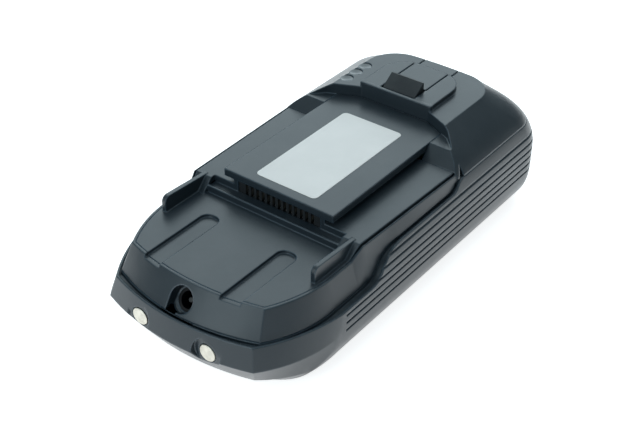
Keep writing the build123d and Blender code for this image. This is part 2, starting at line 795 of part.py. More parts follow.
# Interface deck: the flat front, the raised side decks and the rail plate that slides into the cleaner
with BuildPart() as interface_deck:
    with BuildSketch(Plane.XY.offset(deck_seat_z)):
        add(deck_outline(deck_rim + seam, ramp_foot_y))
    extrude(amount=deck_wall)
    add(deck_step.part)
    add(side_decks.part)
    # Stem, rail plate and the floor behind it
    with BuildSketch(Plane.XY.offset(side_seat_z)):
        with Locations((0, (step_y + facet_top_y) / 2)):
            Rectangle(2 * stem_half_width, facet_top_y - step_y)
        with Locations((0, (step_y + facet_top_y) / 2)):
            Rectangle(2 * (stem_half_width - stem_wall), facet_top_y - step_y - 2 * stem_wall,
                      mode=Mode.SUBTRACT)
    extrude(amount=plate_top - plate_thickness - side_seat_z)
    with BuildSketch(Plane.XY.offset(plate_top - plate_thickness)):
        with Locations((0, (plate_front_y + facet_top_y) / 2)):
            Rectangle(2 * plate_half_width, facet_top_y - plate_front_y)
    extrude(amount=plate_thickness)
    with BuildSketch(Plane.XY.offset(bay_floor_z - wall)):
        with Locations((0, (facet_top_y - 1 + bay_wall_y - seam) / 2)):
            Rectangle(2 * plate_half_width, bay_wall_y - seam - facet_top_y + 1)
    extrude(amount=wall)
    add(behind_bay(-seam), mode=Mode.SUBTRACT)
    # Fins that guide the pack into the cleaner
    with BuildSketch(Plane.YZ.offset(fin_x - fin_thickness / 2)) as fin_side:
        with BuildLine():
            Polyline((fin_front_y, deck_z - fin_root), (fin_front_y, fin_front_top),
                     (fin_rear_y, fin_rear_top), (fin_rear_y, side_deck_z - fin_root),
                     (ramp_top_y, side_deck_z - fin_root), (ramp_foot_y, deck_z - fin_root),
                     (fin_front_y, deck_z - fin_root))
        make_face()
        fillet(fin_side.vertices().group_by(Axis.X)[0].sort_by(Axis.Y)[-1], fin_nose_radius)
    extrude(amount=fin_thickness)
    mirror(about=Plane.YZ)
    # Bosses over the nose screws
    with BuildSketch(Plane.XY.offset(screw_joint_z)):
        with Locations(*screw_places[:2]):
            Circle(screw_boss_radius)
    extrude(amount=deck_seat_z - screw_joint_z)
    with BuildSketch(Plane.XY.offset(screw_joint_z)):
        with Locations(*screw_places[:2]):
            Circle(screw_thread / 2 + thread_clearance)
    extrude(amount=deck_seat_z - screw_joint_z - 1, mode=Mode.SUBTRACT)
    # Guide grooves, rounded at their rear end
    with BuildSketch(Plane.XY.offset(deck_z - guide_depth)) as grooves:
        with Locations((-guide_x, (deck_nose_y - 5 + guide_end_y) / 2),
                       (guide_x, (deck_nose_y - 5 + guide_end_y) / 2)):
            Rectangle(guide_width, guide_end_y - deck_nose_y + 5)
        fillet(grooves.vertices().group_by(Axis.Y)[-1], guide_width / 2 - 0.6)
    extrude(amount=guide_depth, mode=Mode.SUBTRACT)
    # Opening in the front of the stem for the connector
    connector_gap = connector_half_width + seam
    with BuildSketch(Plane.XY.offset(trough_z)):
        with Locations((0, step_y + stem_wall / 2)):
            Rectangle(2 * connector_gap, stem_wall + 2)
    extrude(amount=plate_top - plate_thickness - trough_z, mode=Mode.SUBTRACT)
    with BuildSketch(Plane.XY.offset(deck_seat_z)):
        with Locations((0, (connector_front_y - seam + connector_rear_y) / 2)):
            Rectangle(2 * connector_gap, connector_rear_y - connector_front_y + seam)
    extrude(amount=trough_z - deck_seat_z, mode=Mode.SUBTRACT)
interface_deck.part.label = "interface_deck"

# Release lever: it follows the pad and the rear of the dome, and turns on two barrels
with BuildPart() as lever_skin:
    add(outer_form)
    add(pad_form(0))
    add(housing_form(lever_wall), mode=Mode.SUBTRACT)
    add(pad_form(lever_wall), mode=Mode.SUBTRACT)
    with BuildSketch(Plane.XY.offset(lever_window_z)):
        with Locations((0, (lever_front_y + lever_rear_y) / 2)):
            Rectangle(2 * lever_half_width, lever_rear_y - lever_front_y)
    extrude(amount=20, mode=Mode.INTERSECT)

with BuildPart() as release_lever:
    add(lever_skin.part)
    # Arm under the hook
    with BuildSketch(Plane.XY.offset(pad_top - 2 * lever_wall)):
        with Locations((0, (hook_front_y + lever_front_y + 1.5) / 2)):
            Rectangle(2 * arm_half_width, lever_front_y + 1.5 - hook_front_y)
    extrude(amount=lever_wall)
    # Webs and barrels on the pivot pin
    with BuildSketch(Plane.YZ):
        with Locations((pivot_y, pivot_z)):
            Circle(barrel_radius)
        with Locations((pivot_y, (pivot_z + crown_z - lever_wall) / 2)):
            Rectangle(2 * barrel_radius - 0.8, crown_z - lever_wall - pivot_z + 0.4)
    extrude(amount=lever_half_width, both=True)
    with BuildSketch(Plane.YZ):
        with Locations((pivot_y, pivot_z - 1)):
            Rectangle(2 * barrel_radius + 1, 2 * barrel_radius + 3)
    extrude(amount=barrel_gap / 2, both=True, mode=Mode.SUBTRACT)
    with BuildSketch(Plane.YZ):
        with Locations((pivot_y, pivot_z)):
            Circle(pin_diameter / 2 + pin_clearance)
    extrude(amount=lever_half_width, both=True, mode=Mode.SUBTRACT)
    # Cross rib with two lugs that stop the lever under the edge of the pad
    with BuildSketch(Plane.XY.offset(pad_top - wall - seam - lug_thickness)):
        with Locations((0, lug_y)):
            Rectangle(2 * lug_half_width, lug_length)
    extrude(amount=lug_thickness)
    with BuildSketch(Plane.XY.offset(pad_top - wall - seam - lug_thickness)):
        with Locations((0, lug_y)):
            Rectangle(2 * lever_half_width, lug_length)
    extrude(amount=wall - lever_wall + seam + lug_thickness)
    # Stud inside the spring
    with BuildSketch(Plane.XY.offset(pad_top - lever_wall - stud_length)):
        with Locations((0, spring_y)):
            Circle(spring_radius - spring_wire / 2 - stud_clearance)
    extrude(amount=stud_length)
    # Holes for the pegs of the hook
    with BuildSketch(Plane.XY.offset(pad_top - 2 * lever_wall)):
        with Locations((-peg_x, peg_y), (peg_x, peg_y)):
            Circle(peg_radius + thread_clearance)
    extrude(amount=lever_wall, mode=Mode.SUBTRACT)
release_lever.part.label = "release_lever"

# Hook that catches in the cleaner, pegged onto the arm of the lever
hook_base_z = pad_top - lever_wall
with BuildPart() as latch_hook:
    with BuildSketch(Plane.YZ):
        with BuildLine():
            Polyline((hook_front_y, hook_base_z), (hook_front_y, hook_foot_z),
                     (hook_rear_y - 0.8, hook_top_z), (hook_rear_y, hook_top_z - 0.3),
                     (hook_rear_y, hook_base_z), (hook_front_y, hook_base_z))
        make_face()
    extrude(amount=hook_half_width, both=True)
    chamfer(latch_hook.edges().filter_by(Axis.Z), 0.4)
    with BuildSketch(Plane.XY.offset(hook_base_z - lever_wall)):
        with Locations((-peg_x, peg_y), (peg_x, peg_y)):
            Circle(peg_radius)
    extrude(amount=lever_wall)
latch_hook.part.label = "latch_hook"

# Bracket under the dome that carries the pin and the spring
with BuildPart() as latch_bracket:
    with BuildSketch(Plane.XY.offset(bracket_z)) as bracket_plan:
        with Locations((0, (bracket_front_y + bracket_rear_y) / 2)):
            RectangleRounded(2 * bracket_half_width, bracket_rear_y - bracket_front_y, 2)
        with Locations((0, bracket_ear_y)):
            SlotCenterToCenter(2 * bracket_ear_x, 2 * bracket_boss_radius + 2)
        with Locations((-bracket_ear_x, bracket_ear_y), (bracket_ear_x, bracket_ear_y)):
            Circle(small_thread / 2 + shank_clearance, mode=Mode.SUBTRACT)
    extrude(amount=bracket_thickness)
    for x in (-cheek_x - cheek_thickness, cheek_x):
        with BuildSketch(Plane.YZ.offset(x)):
            with Locations((pivot_y, pivot_z)):
                Circle(cheek_radius)
            with Locations((pivot_y, (bracket_z + pivot_z) / 2)):
                Rectangle(2 * cheek_radius, pivot_z - bracket_z)
            with Locations((pivot_y, bracket_z + bracket_thickness)):
                Trapezoid(4 * cheek_radius, 2 * bracket_thickness, 60)
            with Locations((pivot_y, pivot_z)):
                Circle(pin_diameter / 2, mode=Mode.SUBTRACT)
        extrude(amount=cheek_thickness)
    with BuildSketch(Plane.XY.offset(bracket_z)):
        with Locations((0, spring_y)):
            Circle(spring_radius - spring_wire / 2 - stud_clearance)
    extrude(amount=bracket_thickness + stud_length)
latch_bracket.part.label = "latch_bracket"

with BuildPart() as latch_pivot_pin:
    with BuildSketch(Plane.YZ):
        with Locations((pivot_y, pivot_z)):
            Circle(pin_diameter / 2)
    extrude(amount=pin_length / 2, both=True)
latch_pivot_pin.part.label = "latch_pivot_pin"

# Coil spring between the bracket and the lever
spring_foot_z = bracket_z + bracket_thickness
spring_length = pad_top - lever_wall - spring_foot_z
with BuildPart() as latch_spring:
    with BuildLine(Plane(origin=(0, spring_y, spring_foot_z + spring_wire / 2))) as coil:
        Helix(pitch=(spring_length - spring_wire) / spring_turns, height=spring_length - spring_wire,
              radius=spring_radius)
    with BuildSketch(Plane(origin=coil.line @ 0, z_dir=coil.line % 0)):
        RegularPolygon(spring_wire / 2, 8)
    sweep(is_frenet=True)
latch_spring.part.label = "latch_spring"

# Connector: a comb of slots with a bent blade in each, standing on the control board
board_top = board_z + board_thickness
slot_floor_z = board_top + comb_floor
with BuildPart() as connector_housing:
    with BuildSketch(Plane.XY.offset(board_top)):
        with Locations((0, (connector_front_y + connector_rear_y) / 2)):
            Rectangle(2 * connector_half_width, connector_rear_y - connector_front_y)
    extrude(amount=connector_top - board_top)
    with BuildSketch(Plane.XY.offset(slot_floor_z)):
        with Locations((0, connector_front_y + comb_depth / 2)):
            with GridLocations(contact_pitch, 1, slot_count, 1):
                Rectangle(contact_pitch - comb_rib, comb_depth)
    extrude(amount=connector_top - slot_floor_z, mode=Mode.SUBTRACT)
    with BuildSketch(Plane.XY.offset(slot_floor_z)):
        with Locations((0, (connector_front_y + comb_depth + connector_rear_y) / 2)):
            with GridLocations(contact_pitch, 1, slot_count, 1):
                Rectangle(blade_width + 2 * seam, connector_rear_y - connector_front_y - comb_depth)
    extrude(amount=blade_thickness + seam, mode=Mode.SUBTRACT)
connector_housing.part.label = "connector_housing"

blade_front_y = connector_front_y + comb_depth - blade_thickness / 2
blade_rear_y = connector_rear_y + blade_reach
blade_z = slot_floor_z + blade_thickness / 2
with BuildPart() as connector_contacts:
    for index in range(slot_count):
        x = (index - (slot_count - 1) / 2) * contact_pitch
        with BuildSketch(Plane.YZ.offset(x - blade_width / 2)):
            with BuildLine():
                Polyline((blade_front_y, slot_floor_z + blade_rise), (blade_front_y, slot_floor_z + 1.1),
                         (connector_front_y + 1.1, blade_z), (blade_front_y + 0.45, blade_z),
                         (blade_rear_y - 0.6, blade_z),
                         (blade_rear_y - 0.6, board_top + blade_thickness / 2),
                         (blade_rear_y + 0.6, board_top + blade_thickness / 2))
            trace(line_width=blade_thickness)
        extrude(amount=blade_width)
connector_contacts.part.label = "connector_contacts"

# Charging jack: a socket deep in the sleeve, with its centre pin
with BuildPart() as jack_socket:
    with BuildSketch(jack_plane.offset(-jack_depth)):
        Circle(jack_body / 2)
    extrude(amount=-jack_length)
    with BuildSketch(jack_plane.offset(-jack_depth)):
        Circle(jack_bore / 2)
    extrude(amount=-jack_length + jack_back, mode=Mode.SUBTRACT)
    with BuildSketch(jack_plane.offset(-jack_depth)):
        Circle(jack_pin_diameter / 2)
    extrude(amount=-jack_length, mode=Mode.SUBTRACT)
jack_socket.part.label = "jack_socket"

with BuildPart() as jack_pin:
    with BuildSketch(jack_plane.offset(-jack_depth - jack_pin_set)):
        Circle(jack_pin_diameter / 2)
    extrude(amount=-jack_length + jack_pin_set - jack_tail)
    fillet(jack_pin.edges().sort_by(Axis.Y)[0], 0.4)
jack_pin.part.label = "jack_pin"

# Dock contacts: a disc in the recess of the nose, its stem and the solder tag behind the boss
dock_floor_y = dock_face_y + dock_recess_depth + dock_pocket_depth
for side, name in ((-1, "dock_contact_left"), (1, "dock_contact_right")):
    with BuildPart() as dock_contact:
        with BuildSketch(Plane.XZ.offset(-dock_floor_y)):
            with Locations((side * dock_x, dock_z)):
                Circle(dock_diameter / 2)
        extrude(amount=dock_pocket_depth + dock_proud)
        fillet(dock_contact.edges().sort_by(Axis.Y)[0], 0.3)
        with BuildSketch(Plane.XZ.offset(-dock_floor_y)):
            with Locations((side * dock_x, dock_z)):
                Circle(dock_stem / 2)
        extrude(amount=dock_floor_y - dock_face_y - dock_boss_depth - dock_stem_end)
    dock_contact.part.label = name
    export_step(dock_contact.part, f"parts/{name}.step")

with BuildPart() as dock_contact_tags:
    with BuildSketch(Plane.XZ.offset(-dock_face_y - dock_boss_depth)):
        for x in (-dock_x, dock_x):
            with Locations((x, dock_z)):
                Circle(dock_stem / 2 + 1.8)
            with Locations((x - math.copysign(dock_stem / 2 + 2.8, x), dock_z)):
                Rectangle(4, 2.4)
            with Locations((x, dock_z)):
                Circle(dock_stem / 2 + thread_clearance, mode=Mode.SUBTRACT)
    extrude(amount=-tag_thickness)
dock_contact_tags.part.label = "dock_contact_tags"

# Cells in two staggered rows across the pack
cell_pitch = math.sqrt((cell_diameter + cell_gap) ** 2 - cell_row_rise ** 2)
cell_places = [(cell_centre_y + (index - (cell_count - 1) / 2) * cell_pitch,
                cell_first_z + cell_row_rise * (index % 2)) for index in range(cell_count)]
for index, place in enumerate(cell_places):
    name = f"cell_{index + 1}"
    with BuildPart() as cell:
        with BuildSketch(Plane.YZ.offset(-cell_length / 2)):
            with Locations(place):
                Circle(cell_diameter / 2)
        extrude(amount=cell_length)
        # Groove behind the positive cap, which turns over from cell to cell
        cap = 1 if index % 2 else -1
        with BuildSketch(Plane.YZ.offset(cap * (cell_length / 2 - 3.2))):
            with Locations(place):
                Circle(cell_diameter / 2)
                Circle(cell_diameter / 2 - 0.5, mode=Mode.SUBTRACT)
        extrude(amount=0.8, mode=Mode.SUBTRACT)
    cell.part.label = name
    export_step(cell.part, f"parts/{name}.step")

# Holders at the ends of the cells, with posts for the control board
holder_front_y = cell_places[0][0] - cell_diameter / 2 - holder_wall
holder_rear_y = cell_places[-1][0] + cell_diameter / 2 + holder_wall
holder_top = cell_first_z + cell_row_rise + cell_diameter / 2 + holder_wall
holder_inner_x = cell_length / 2 - holder_grip
post_places = [(cell_places[index][0], holder_inner_x + holder_grip / 2) for index in board_post_cells]
for side, name in ((-1, "cell_holder_left"), (1, "cell_holder_right")):
    with BuildPart() as cell_holder:
        with BuildSketch(Plane.YZ.offset(side * holder_inner_x)) as holder_side:
            with Locations(((holder_front_y + holder_rear_y) / 2, (holder_bottom_z + holder_top) / 2)):
                Rectangle(holder_rear_y - holder_front_y, holder_top - holder_bottom_z)
            fillet(holder_side.vertices(), 6)
            with Locations(*cell_places):
                Circle(cell_diameter / 2 + holder_clearance, mode=Mode.SUBTRACT)
        extrude(amount=side * holder_grip)
        with BuildSketch(Plane.XY.offset(holder_top)):
            with Locations(*[(side * x, y) for y, x in post_places]):
                Circle(board_post_radius)
        extrude(amount=board_z - holder_top)
        with BuildSketch(Plane.XY.offset(board_z)):
            with Locations(*[(side * x, y) for y, x in post_places]):
                Circle(small_thread / 2 + thread_clearance)
        extrude(amount=-small_screw_length, mode=Mode.SUBTRACT)
    cell_holder.part.label = name
    export_step(cell_holder.part, f"parts/{name}.step")

# Nickel strips that join the cells in series, and the sheets over them
strip_runs = {-1: ((0, 1), (2, 3), (4, 5), (6,)), 1: ((0,), (1, 2), (3, 4), (5, 6))}
for side, word in ((-1, "left"), (1, "right")):
    with BuildPart() as nickel_strips:
        with BuildSketch(Plane.YZ.offset(side * cell_length / 2)):
            for run in strip_runs[side]:
                start = cell_places[run[0]]
                end = cell_places[run[-1]]
                if len(run) == 1:
                    end = (start[0], start[1] + strip_tab)
                middle = ((start[0] + end[0]) / 2, (start[1] + end[1]) / 2)
                SlotCenterPoint(middle, end, strip_width)
        extrude(amount=side * strip_thickness)
    nickel_strips.part.label = f"nickel_strips_{word}"
    export_step(nickel_strips.part, f"parts/nickel_strips_{word}.step")

    with BuildPart() as insulation_sheet:
        with BuildSketch(Plane.YZ.offset(side * (cell_length / 2 + strip_thickness))) as sheet_outline:
            with Locations(((holder_front_y + holder_rear_y) / 2, (holder_bottom_z + holder_top) / 2)):
                Rectangle(holder_rear_y - holder_front_y - 2, holder_top - holder_bottom_z - 2)
            fillet(sheet_outline.vertices(), 5)
        extrude(amount=side * sheet_thickness)
    insulation_sheet.part.label = f"insulation_sheet_{word}"
    export_step(insulation_sheet.part, f"parts/insulation_sheet_{word}.step")

# Foam strips between the floor and the lower row of cells
with BuildPart() as foam_pads:
    with BuildSketch(Plane.XY.offset(wall)):
        with Locations((0, cell_centre_y)):
            with GridLocations(2 * foam_x, 1, 2, 1):
                Rectangle(foam_width, holder_rear_y - holder_front_y)
    extrude(amount=cell_first_z - cell_diameter / 2 - wall)
foam_pads.part.label = "foam_pads"

# Temperature sensor in the valley between two upper cells, wired up to the board
bead_place = (cell_places[2][0], cell_first_z + cell_diameter / 2 + bead_radius)
with BuildPart() as thermistor:
    with BuildSketch(Plane.YZ.offset(bead_x - 2 * bead_radius)):
        with Locations(bead_place):
            Circle(bead_radius)
    extrude(amount=4 * bead_radius)
    fillet(thermistor.edges(), 0.8)
    with BuildSketch(Plane.XY.offset(bead_place[1])):
        with Locations((bead_x, bead_place[0])):
            with GridLocations(1.6, 1, 2, 1):
                Circle(0.35)
    extrude(amount=board_z - bead_place[1])
thermistor.part.label = "thermistor"

# Control board, screwed down on the posts of the cell holders
board_front_y = step_y + deck_wall + board_clearance
with BuildPart() as control_board:
    with BuildSketch(Plane.XY.offset(board_z)):
        with Locations((0, (board_front_y + board_rear_y) / 2)):
            RectangleRounded(2 * board_half_width, board_rear_y - board_front_y, 2)
        with Locations(*[(side * x, y) for y, x in post_places for side in (-1, 1)]):
            Circle(small_thread / 2 + shank_clearance, mode=Mode.SUBTRACT)
    extrude(amount=board_thickness)
control_board.part.label = "control_board"

# Parts soldered to the board: coil, power switches, controller, capacitors and small chips
with BuildPart() as board_components:
    with BuildSketch(Plane.XY.offset(board_top)):
        with Locations((-9.5, -10)):
            RectangleRounded(12, 12, 1.5)
    extrude(amount=5.4)
    with BuildSketch(Plane.XY.offset(board_top)):
        with Locations((11, -9)):
            with GridLocations(8.5, 9, 2, 2):
                Rectangle(5.2, 6.1)
    extrude(amount=1.1)
    with BuildSketch(Plane.XY.offset(board_top)):
        with Locations((0, 9)):
            Rectangle(9, 9)
        with Locations((-13, 8), (-13, 16), (12, 12)):
            Rectangle(4, 5)
    extrude(amount=1.2)
    with BuildSketch(Plane.XY.offset(board_top)):
        with Locations((8, 22), (14.5, 22)):
            Circle(2.5)
    extrude(amount=5.4)
    with BuildSketch(Plane.XY.offset(board_top)):
        with Locations((-4, 21)):
            with GridLocations(2.6, 3.4, 5, 3):
                Rectangle(1.6, 0.8)
    extrude(amount=0.5)
board_components.part.label = "board_components"

# Board of the charge lamps with a lamp chip under each light pipe
lamp_ys = [lamp_y + (index - (lamp_count - 1) / 2) * lamp_pitch for index in range(lamp_count)]
with BuildPart() as indicator_board:
    with BuildSketch(Plane.XY.offset(indicator_z)):
        with Locations((lamp_x + 0.6, lamp_y + 1.6)):
            RectangleRounded(8.4, lamp_count * lamp_pitch, 1)
    extrude(amount=indicator_thickness)
    with BuildSketch(Plane.XY.offset(indicator_z + indicator_thickness)):
        with Locations(*[(lamp_x, y) for y in lamp_ys]):
            Rectangle(1.6, 3)
    extrude(amount=lamp_chip)
indicator_board.part.label = "indicator_board"

# Light pipes: one bar with a dished lens for each lamp
pipe_z = indicator_z + indicator_thickness + lamp_chip
with BuildPart() as led_light_guide:
    with BuildSketch(Plane.XY.offset(pipe_z)):
        with Locations((lamp_x - 0.4, lamp_y)):
            RectangleRounded(3.6, (lamp_count - 1) * lamp_pitch + lamp_diameter, 1)
    extrude(amount=1.2)
    with BuildSketch(Plane.XY.offset(pipe_z)):
        with Locations(*[(lamp_x, y) for y in lamp_ys]):
            Circle(lamp_diameter / 2 - lamp_fit)
    extrude(amount=lens_top - pipe_z)
    with Locations(*[(lamp_x, y, lens_top + lens_dish_radius - lens_dish) for y in lamp_ys]):
        Sphere(lens_dish_radius, mode=Mode.SUBTRACT)
led_light_guide.part.label = "led_light_guide"

# Wires
with BuildPart() as indicator_leads:
    for x in (lamp_x - 1, lamp_x, lamp_x + 1):
        add(lead([(x, ribbon_y, indicator_z), (x, ribbon_y, board_top + 1.0),
                  (x, board_rear_y - 3, board_top + 1.0), (x, board_rear_y - 3, board_top)], 0.45, 0.4))
indicator_leads.part.label = "indicator_leads"

tab_x = cell_length / 2 + strip_thickness + sheet_thickness
lead_y = board_front_y + 6
lead_foot_z = cell_first_z + cell_row_rise + 4
with BuildPart() as power_lead_negative:
    add(lead([(-tab_x, lead_y, lead_foot_z), (-tab_x - lead_offset, lead_y, lead_foot_z),
              (-tab_x - lead_offset, lead_y, board_top + lead_radius),
              (-board_half_width + 3, lead_y, board_top + lead_radius)], 1.2, lead_radius))
power_lead_negative.part.label = "power_lead_negative"

with BuildPart() as power_lead_positive:
    add(lead([(tab_x, lead_y, lead_foot_z), (tab_x + lead_offset, lead_y, lead_foot_z),
              (tab_x + lead_offset, lead_y, board_top + lead_radius),
              (board_half_width - 3, lead_y, board_top + lead_radius)], 1.2, lead_radius))
power_lead_positive.part.label = "power_lead_positive"

# Wires from the dock contacts and from the jack to the front edge of the board
tag_y = dock_face_y + dock_boss_depth + tag_thickness
lead_x = dock_x - dock_stem / 2 - 3.6
with BuildPart() as dock_leads:
    for side in (-1, 1):
        add(lead([(side * lead_x, tag_y, dock_z), (side * lead_x, tag_y + 12, dock_z),
                  (side * lead_x, board_front_y - 8, board_z - 3.6),
                  (side * lead_x, board_front_y + 1.5, board_z - 2.6),
                  (side * lead_x, board_front_y + 1.5, board_z)], 1.4, thin_lead_radius))
dock_leads.part.label = "dock_leads"

jack_end = jack_plane.offset(-jack_depth - jack_length)
with BuildPart() as jack_leads:
    for x in (-2.8, 2.8):
        start = jack_end.from_local_coords((x, 0, 0))
        out = jack_end.from_local_coords((x, 0, -3))
        add(lead([start, out, (x, board_front_y - 20, board_z - 10), (x, board_front_y - 6, board_z - 3.0),
                  (x, board_front_y + 1.5, board_z - 2.4), (x, board_front_y + 1.5, board_z)], 1.2,
                 thin_lead_radius))
jack_leads.part.label = "jack_leads"

# Screws
with BuildPart() as casing_screws:
    with BuildSketch(Plane.XY.offset(screw_seat_z - screw_head_height)):
        with Locations(*screw_places):
            Circle(screw_head / 2)
    extrude(amount=screw_head_height)
    with BuildSketch(Plane.XY.offset(screw_seat_z)):
        with Locations(*screw_places):
            Circle(screw_thread / 2)
    extrude(amount=screw_joint_z - screw_seat_z + screw_grip - 1)
    with BuildSketch(Plane.XY.offset(screw_seat_z - screw_head_height)):
        with Locations(*screw_places):
            Rectangle(2.8, 0.7)
            Rectangle(0.7, 2.8)
    extrude(amount=1.1, mode=Mode.SUBTRACT)
casing_screws.part.label = "casing_screws"

with BuildPart() as board_screws:
    with BuildSketch(Plane.XY.offset(board_top)):
        with Locations(*[(side * x, y) for y, x in post_places for side in (-1, 1)]):
            Circle(small_screw_head / 2)
    extrude(amount=small_head_height)
    with BuildSketch(Plane.XY.offset(board_top)):
        with Locations(*[(side * x, y) for y, x in post_places for side in (-1, 1)]):
            Circle(small_thread / 2)
    extrude(amount=-board_thickness - small_screw_length + 0.5)
    with BuildSketch(Plane.XY.offset(bracket_z)):
        with Locations((-bracket_ear_x, bracket_ear_y), (bracket_ear_x, bracket_ear_y)):
            Circle(small_screw_head / 2)
    extrude(amount=-small_head_height)
    with BuildSketch(Plane.XY.offset(bracket_z)):
        with Locations((-bracket_ear_x, bracket_ear_y), (bracket_ear_x, bracket_ear_y)):
            Circle(small_thread / 2)
    extrude(amount=bracket_thickness + small_screw_length - 0.5)
board_screws.part.label = "board_screws"

# Blank paper label on the rail plate
with BuildPart() as label:
    with BuildSketch(Plane.XY.offset(plate_top)):
        with Locations((0, (label_front_y + label_rear_y) / 2)):
            RectangleRounded(2 * label_half_width, label_rear_y - label_front_y, label_radius)
    extrude(amount=label_thickness)
label.part.label = "label"

for piece in (lower_tub, upper_housing, interface_deck, release_lever, latch_hook, latch_bracket,
              latch_pivot_pin, latch_spring, connector_housing, connector_contacts, jack_socket, jack_pin,
              dock_contact_tags, foam_pads, thermistor, control_board, board_components, indicator_board,
              led_light_guide, indicator_leads, power_lead_negative, power_lead_positive, dock_leads,
              jack_leads, casing_screws, board_screws, label):
    export_step(piece.part, f"parts/{piece.part.label}.step")
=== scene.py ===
import math

import bmesh
import bpy
from bpy.props import FloatProperty, FloatVectorProperty, IntProperty, PointerProperty
from mathutils import Matrix, Vector


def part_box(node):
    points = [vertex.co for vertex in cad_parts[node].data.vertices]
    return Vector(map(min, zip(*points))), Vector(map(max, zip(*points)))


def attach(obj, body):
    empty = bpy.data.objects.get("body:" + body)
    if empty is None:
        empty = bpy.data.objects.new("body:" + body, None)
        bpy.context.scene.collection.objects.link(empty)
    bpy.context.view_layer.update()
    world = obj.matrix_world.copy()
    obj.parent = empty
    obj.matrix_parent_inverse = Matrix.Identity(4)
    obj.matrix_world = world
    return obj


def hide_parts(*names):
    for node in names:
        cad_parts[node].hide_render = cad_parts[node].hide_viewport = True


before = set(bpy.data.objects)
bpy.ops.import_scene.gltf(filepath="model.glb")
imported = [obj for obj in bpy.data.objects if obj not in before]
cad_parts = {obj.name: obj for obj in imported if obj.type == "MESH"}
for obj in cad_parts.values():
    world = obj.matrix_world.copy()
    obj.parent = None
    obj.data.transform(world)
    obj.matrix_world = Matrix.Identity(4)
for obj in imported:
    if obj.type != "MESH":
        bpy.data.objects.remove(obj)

bl_info = {
    "name": "Slide-in battery pack",
    "version": (1, 0, 0),
    "blender": (4, 5, 0),
    "location": "View3D > Sidebar > Battery pack",
    "description": "Dresses the battery pack of a cordless vacuum cleaner and lights it",
    "category": "Object",
}

MM = 0.001

# Row of spring blades in the comb connector
BLADE_COUNT = 13
BLADE_PITCH = 2.5 * MM
BLADE_WIDTH = 0.9 * MM
BLADE_THICKNESS = 0.3 * MM

# Joining the triangles of a moulding: vertices that are nearer than the first become one, and
# edges that are shorter than the second go
MERGE_DISTANCE = 0.002 * MM
SLIVER = 0.001 * MM

# Under the crease angle, an edge stays sharp if it turns this much and isn't a step of a curve,
# which has a like edge near it
CREASE_LEAST = math.radians(7)
LIKE_TURN = 0.5  # share of the edge's turn that the like edge passes
LIKE_DIRECTION = 0.8  # least cosine of the angle between the two
FLAT_REACH = 8  # most faces that are looked through on each side
FLAT = math.radians(1)  # turn under which two faces count as flat

# Pull of the larger faces on the shading of a moulding, out of 100
FACE_WEIGHT = 100

# Label: steps round each corner, bevelled rim and height of its edge below the face
CORNER_STEPS = 8
LABEL_RIM = 0.18 * MM
LABEL_EDGE = 0.05 * MM

# Camera of the photograph: lens and sensor in millimetres, the rest in metres and radians
FOCAL_LENGTH = 67.0
SENSOR_WIDTH = 36.0
NEAREST_SEEN = 0.01
CAMERA_PLACE = (0.2222, -0.3007, 0.2843)
AZIMUTH = math.radians(36.97)
ELEVATION = math.radians(35.69)
ROLL = math.radians(-0.46)

# Studio: bluish walls and softboxes that point at the pack, over a paper floor
AIM = Vector((0, 0, 0.03))
WALL_TINT = (0.78, 0.94, 1.0, 1)
SOFTBOX_TINT = (0.80, 0.945, 1.0)
WHITE = (1, 1, 1, 1)
FLOOR_REACH = 3.0
FLOOR_SQUARES = 8
FLOOR_GLOW = 0.8

# Places of the two colours and of the result among the sockets of a Mix node
MIX_FIRST, MIX_SECOND, MIX_RESULT = 6, 7, 2

# Mean of a noise pattern, and the range that most of it lies in
NOISE_MEAN = 0.5
NOISE_RANGE = (0.3, 0.7)

# Grain size and ring pitch are given in millimetres, but the patterns are drawn in metres
MM_PER_METRE = 1000.0
RING_TURN = 6283.0  # radians of a full turn, times the millimetres in a metre


# Sizes, colours and studio values that a user would change

class PackShape(bpy.types.PropertyGroup):
    crease_angle: FloatProperty(
        name="Crease angle", description="Edges of the mouldings that turn more than this stay sharp",
        default=math.radians(24), subtype="ANGLE")
    edge_radius: FloatProperty(
        name="Edge radius", description="Softness of the moulded edges",
        default=0.85 * MM, unit="LENGTH")
    grain_height: FloatProperty(
        name="Grain height", description="Height of the fine spark grain on the housing",
        default=0.012 * MM, unit="LENGTH")
    blade_count: IntProperty(
        name="Contact blades", description="Number of contact blades in the comb connector",
        default=BLADE_COUNT, min=2)
    blade_pitch: FloatProperty(
        name="Blade pitch", description="Distance from one contact blade to the next",
        default=BLADE_PITCH, unit="LENGTH")
    blade_width: FloatProperty(
        name="Blade width", description="Width of each contact blade",
        default=BLADE_WIDTH, unit="LENGTH")
    blade_thickness: FloatProperty(
        name="Blade thickness", description="Thickness of the strip that the blades are bent from",
        default=BLADE_THICKNESS, unit="LENGTH")
    label_radius: FloatProperty(
        name="Label corner", description="Corner radius of the paper label",
        default=2.0 * MM, unit="LENGTH")


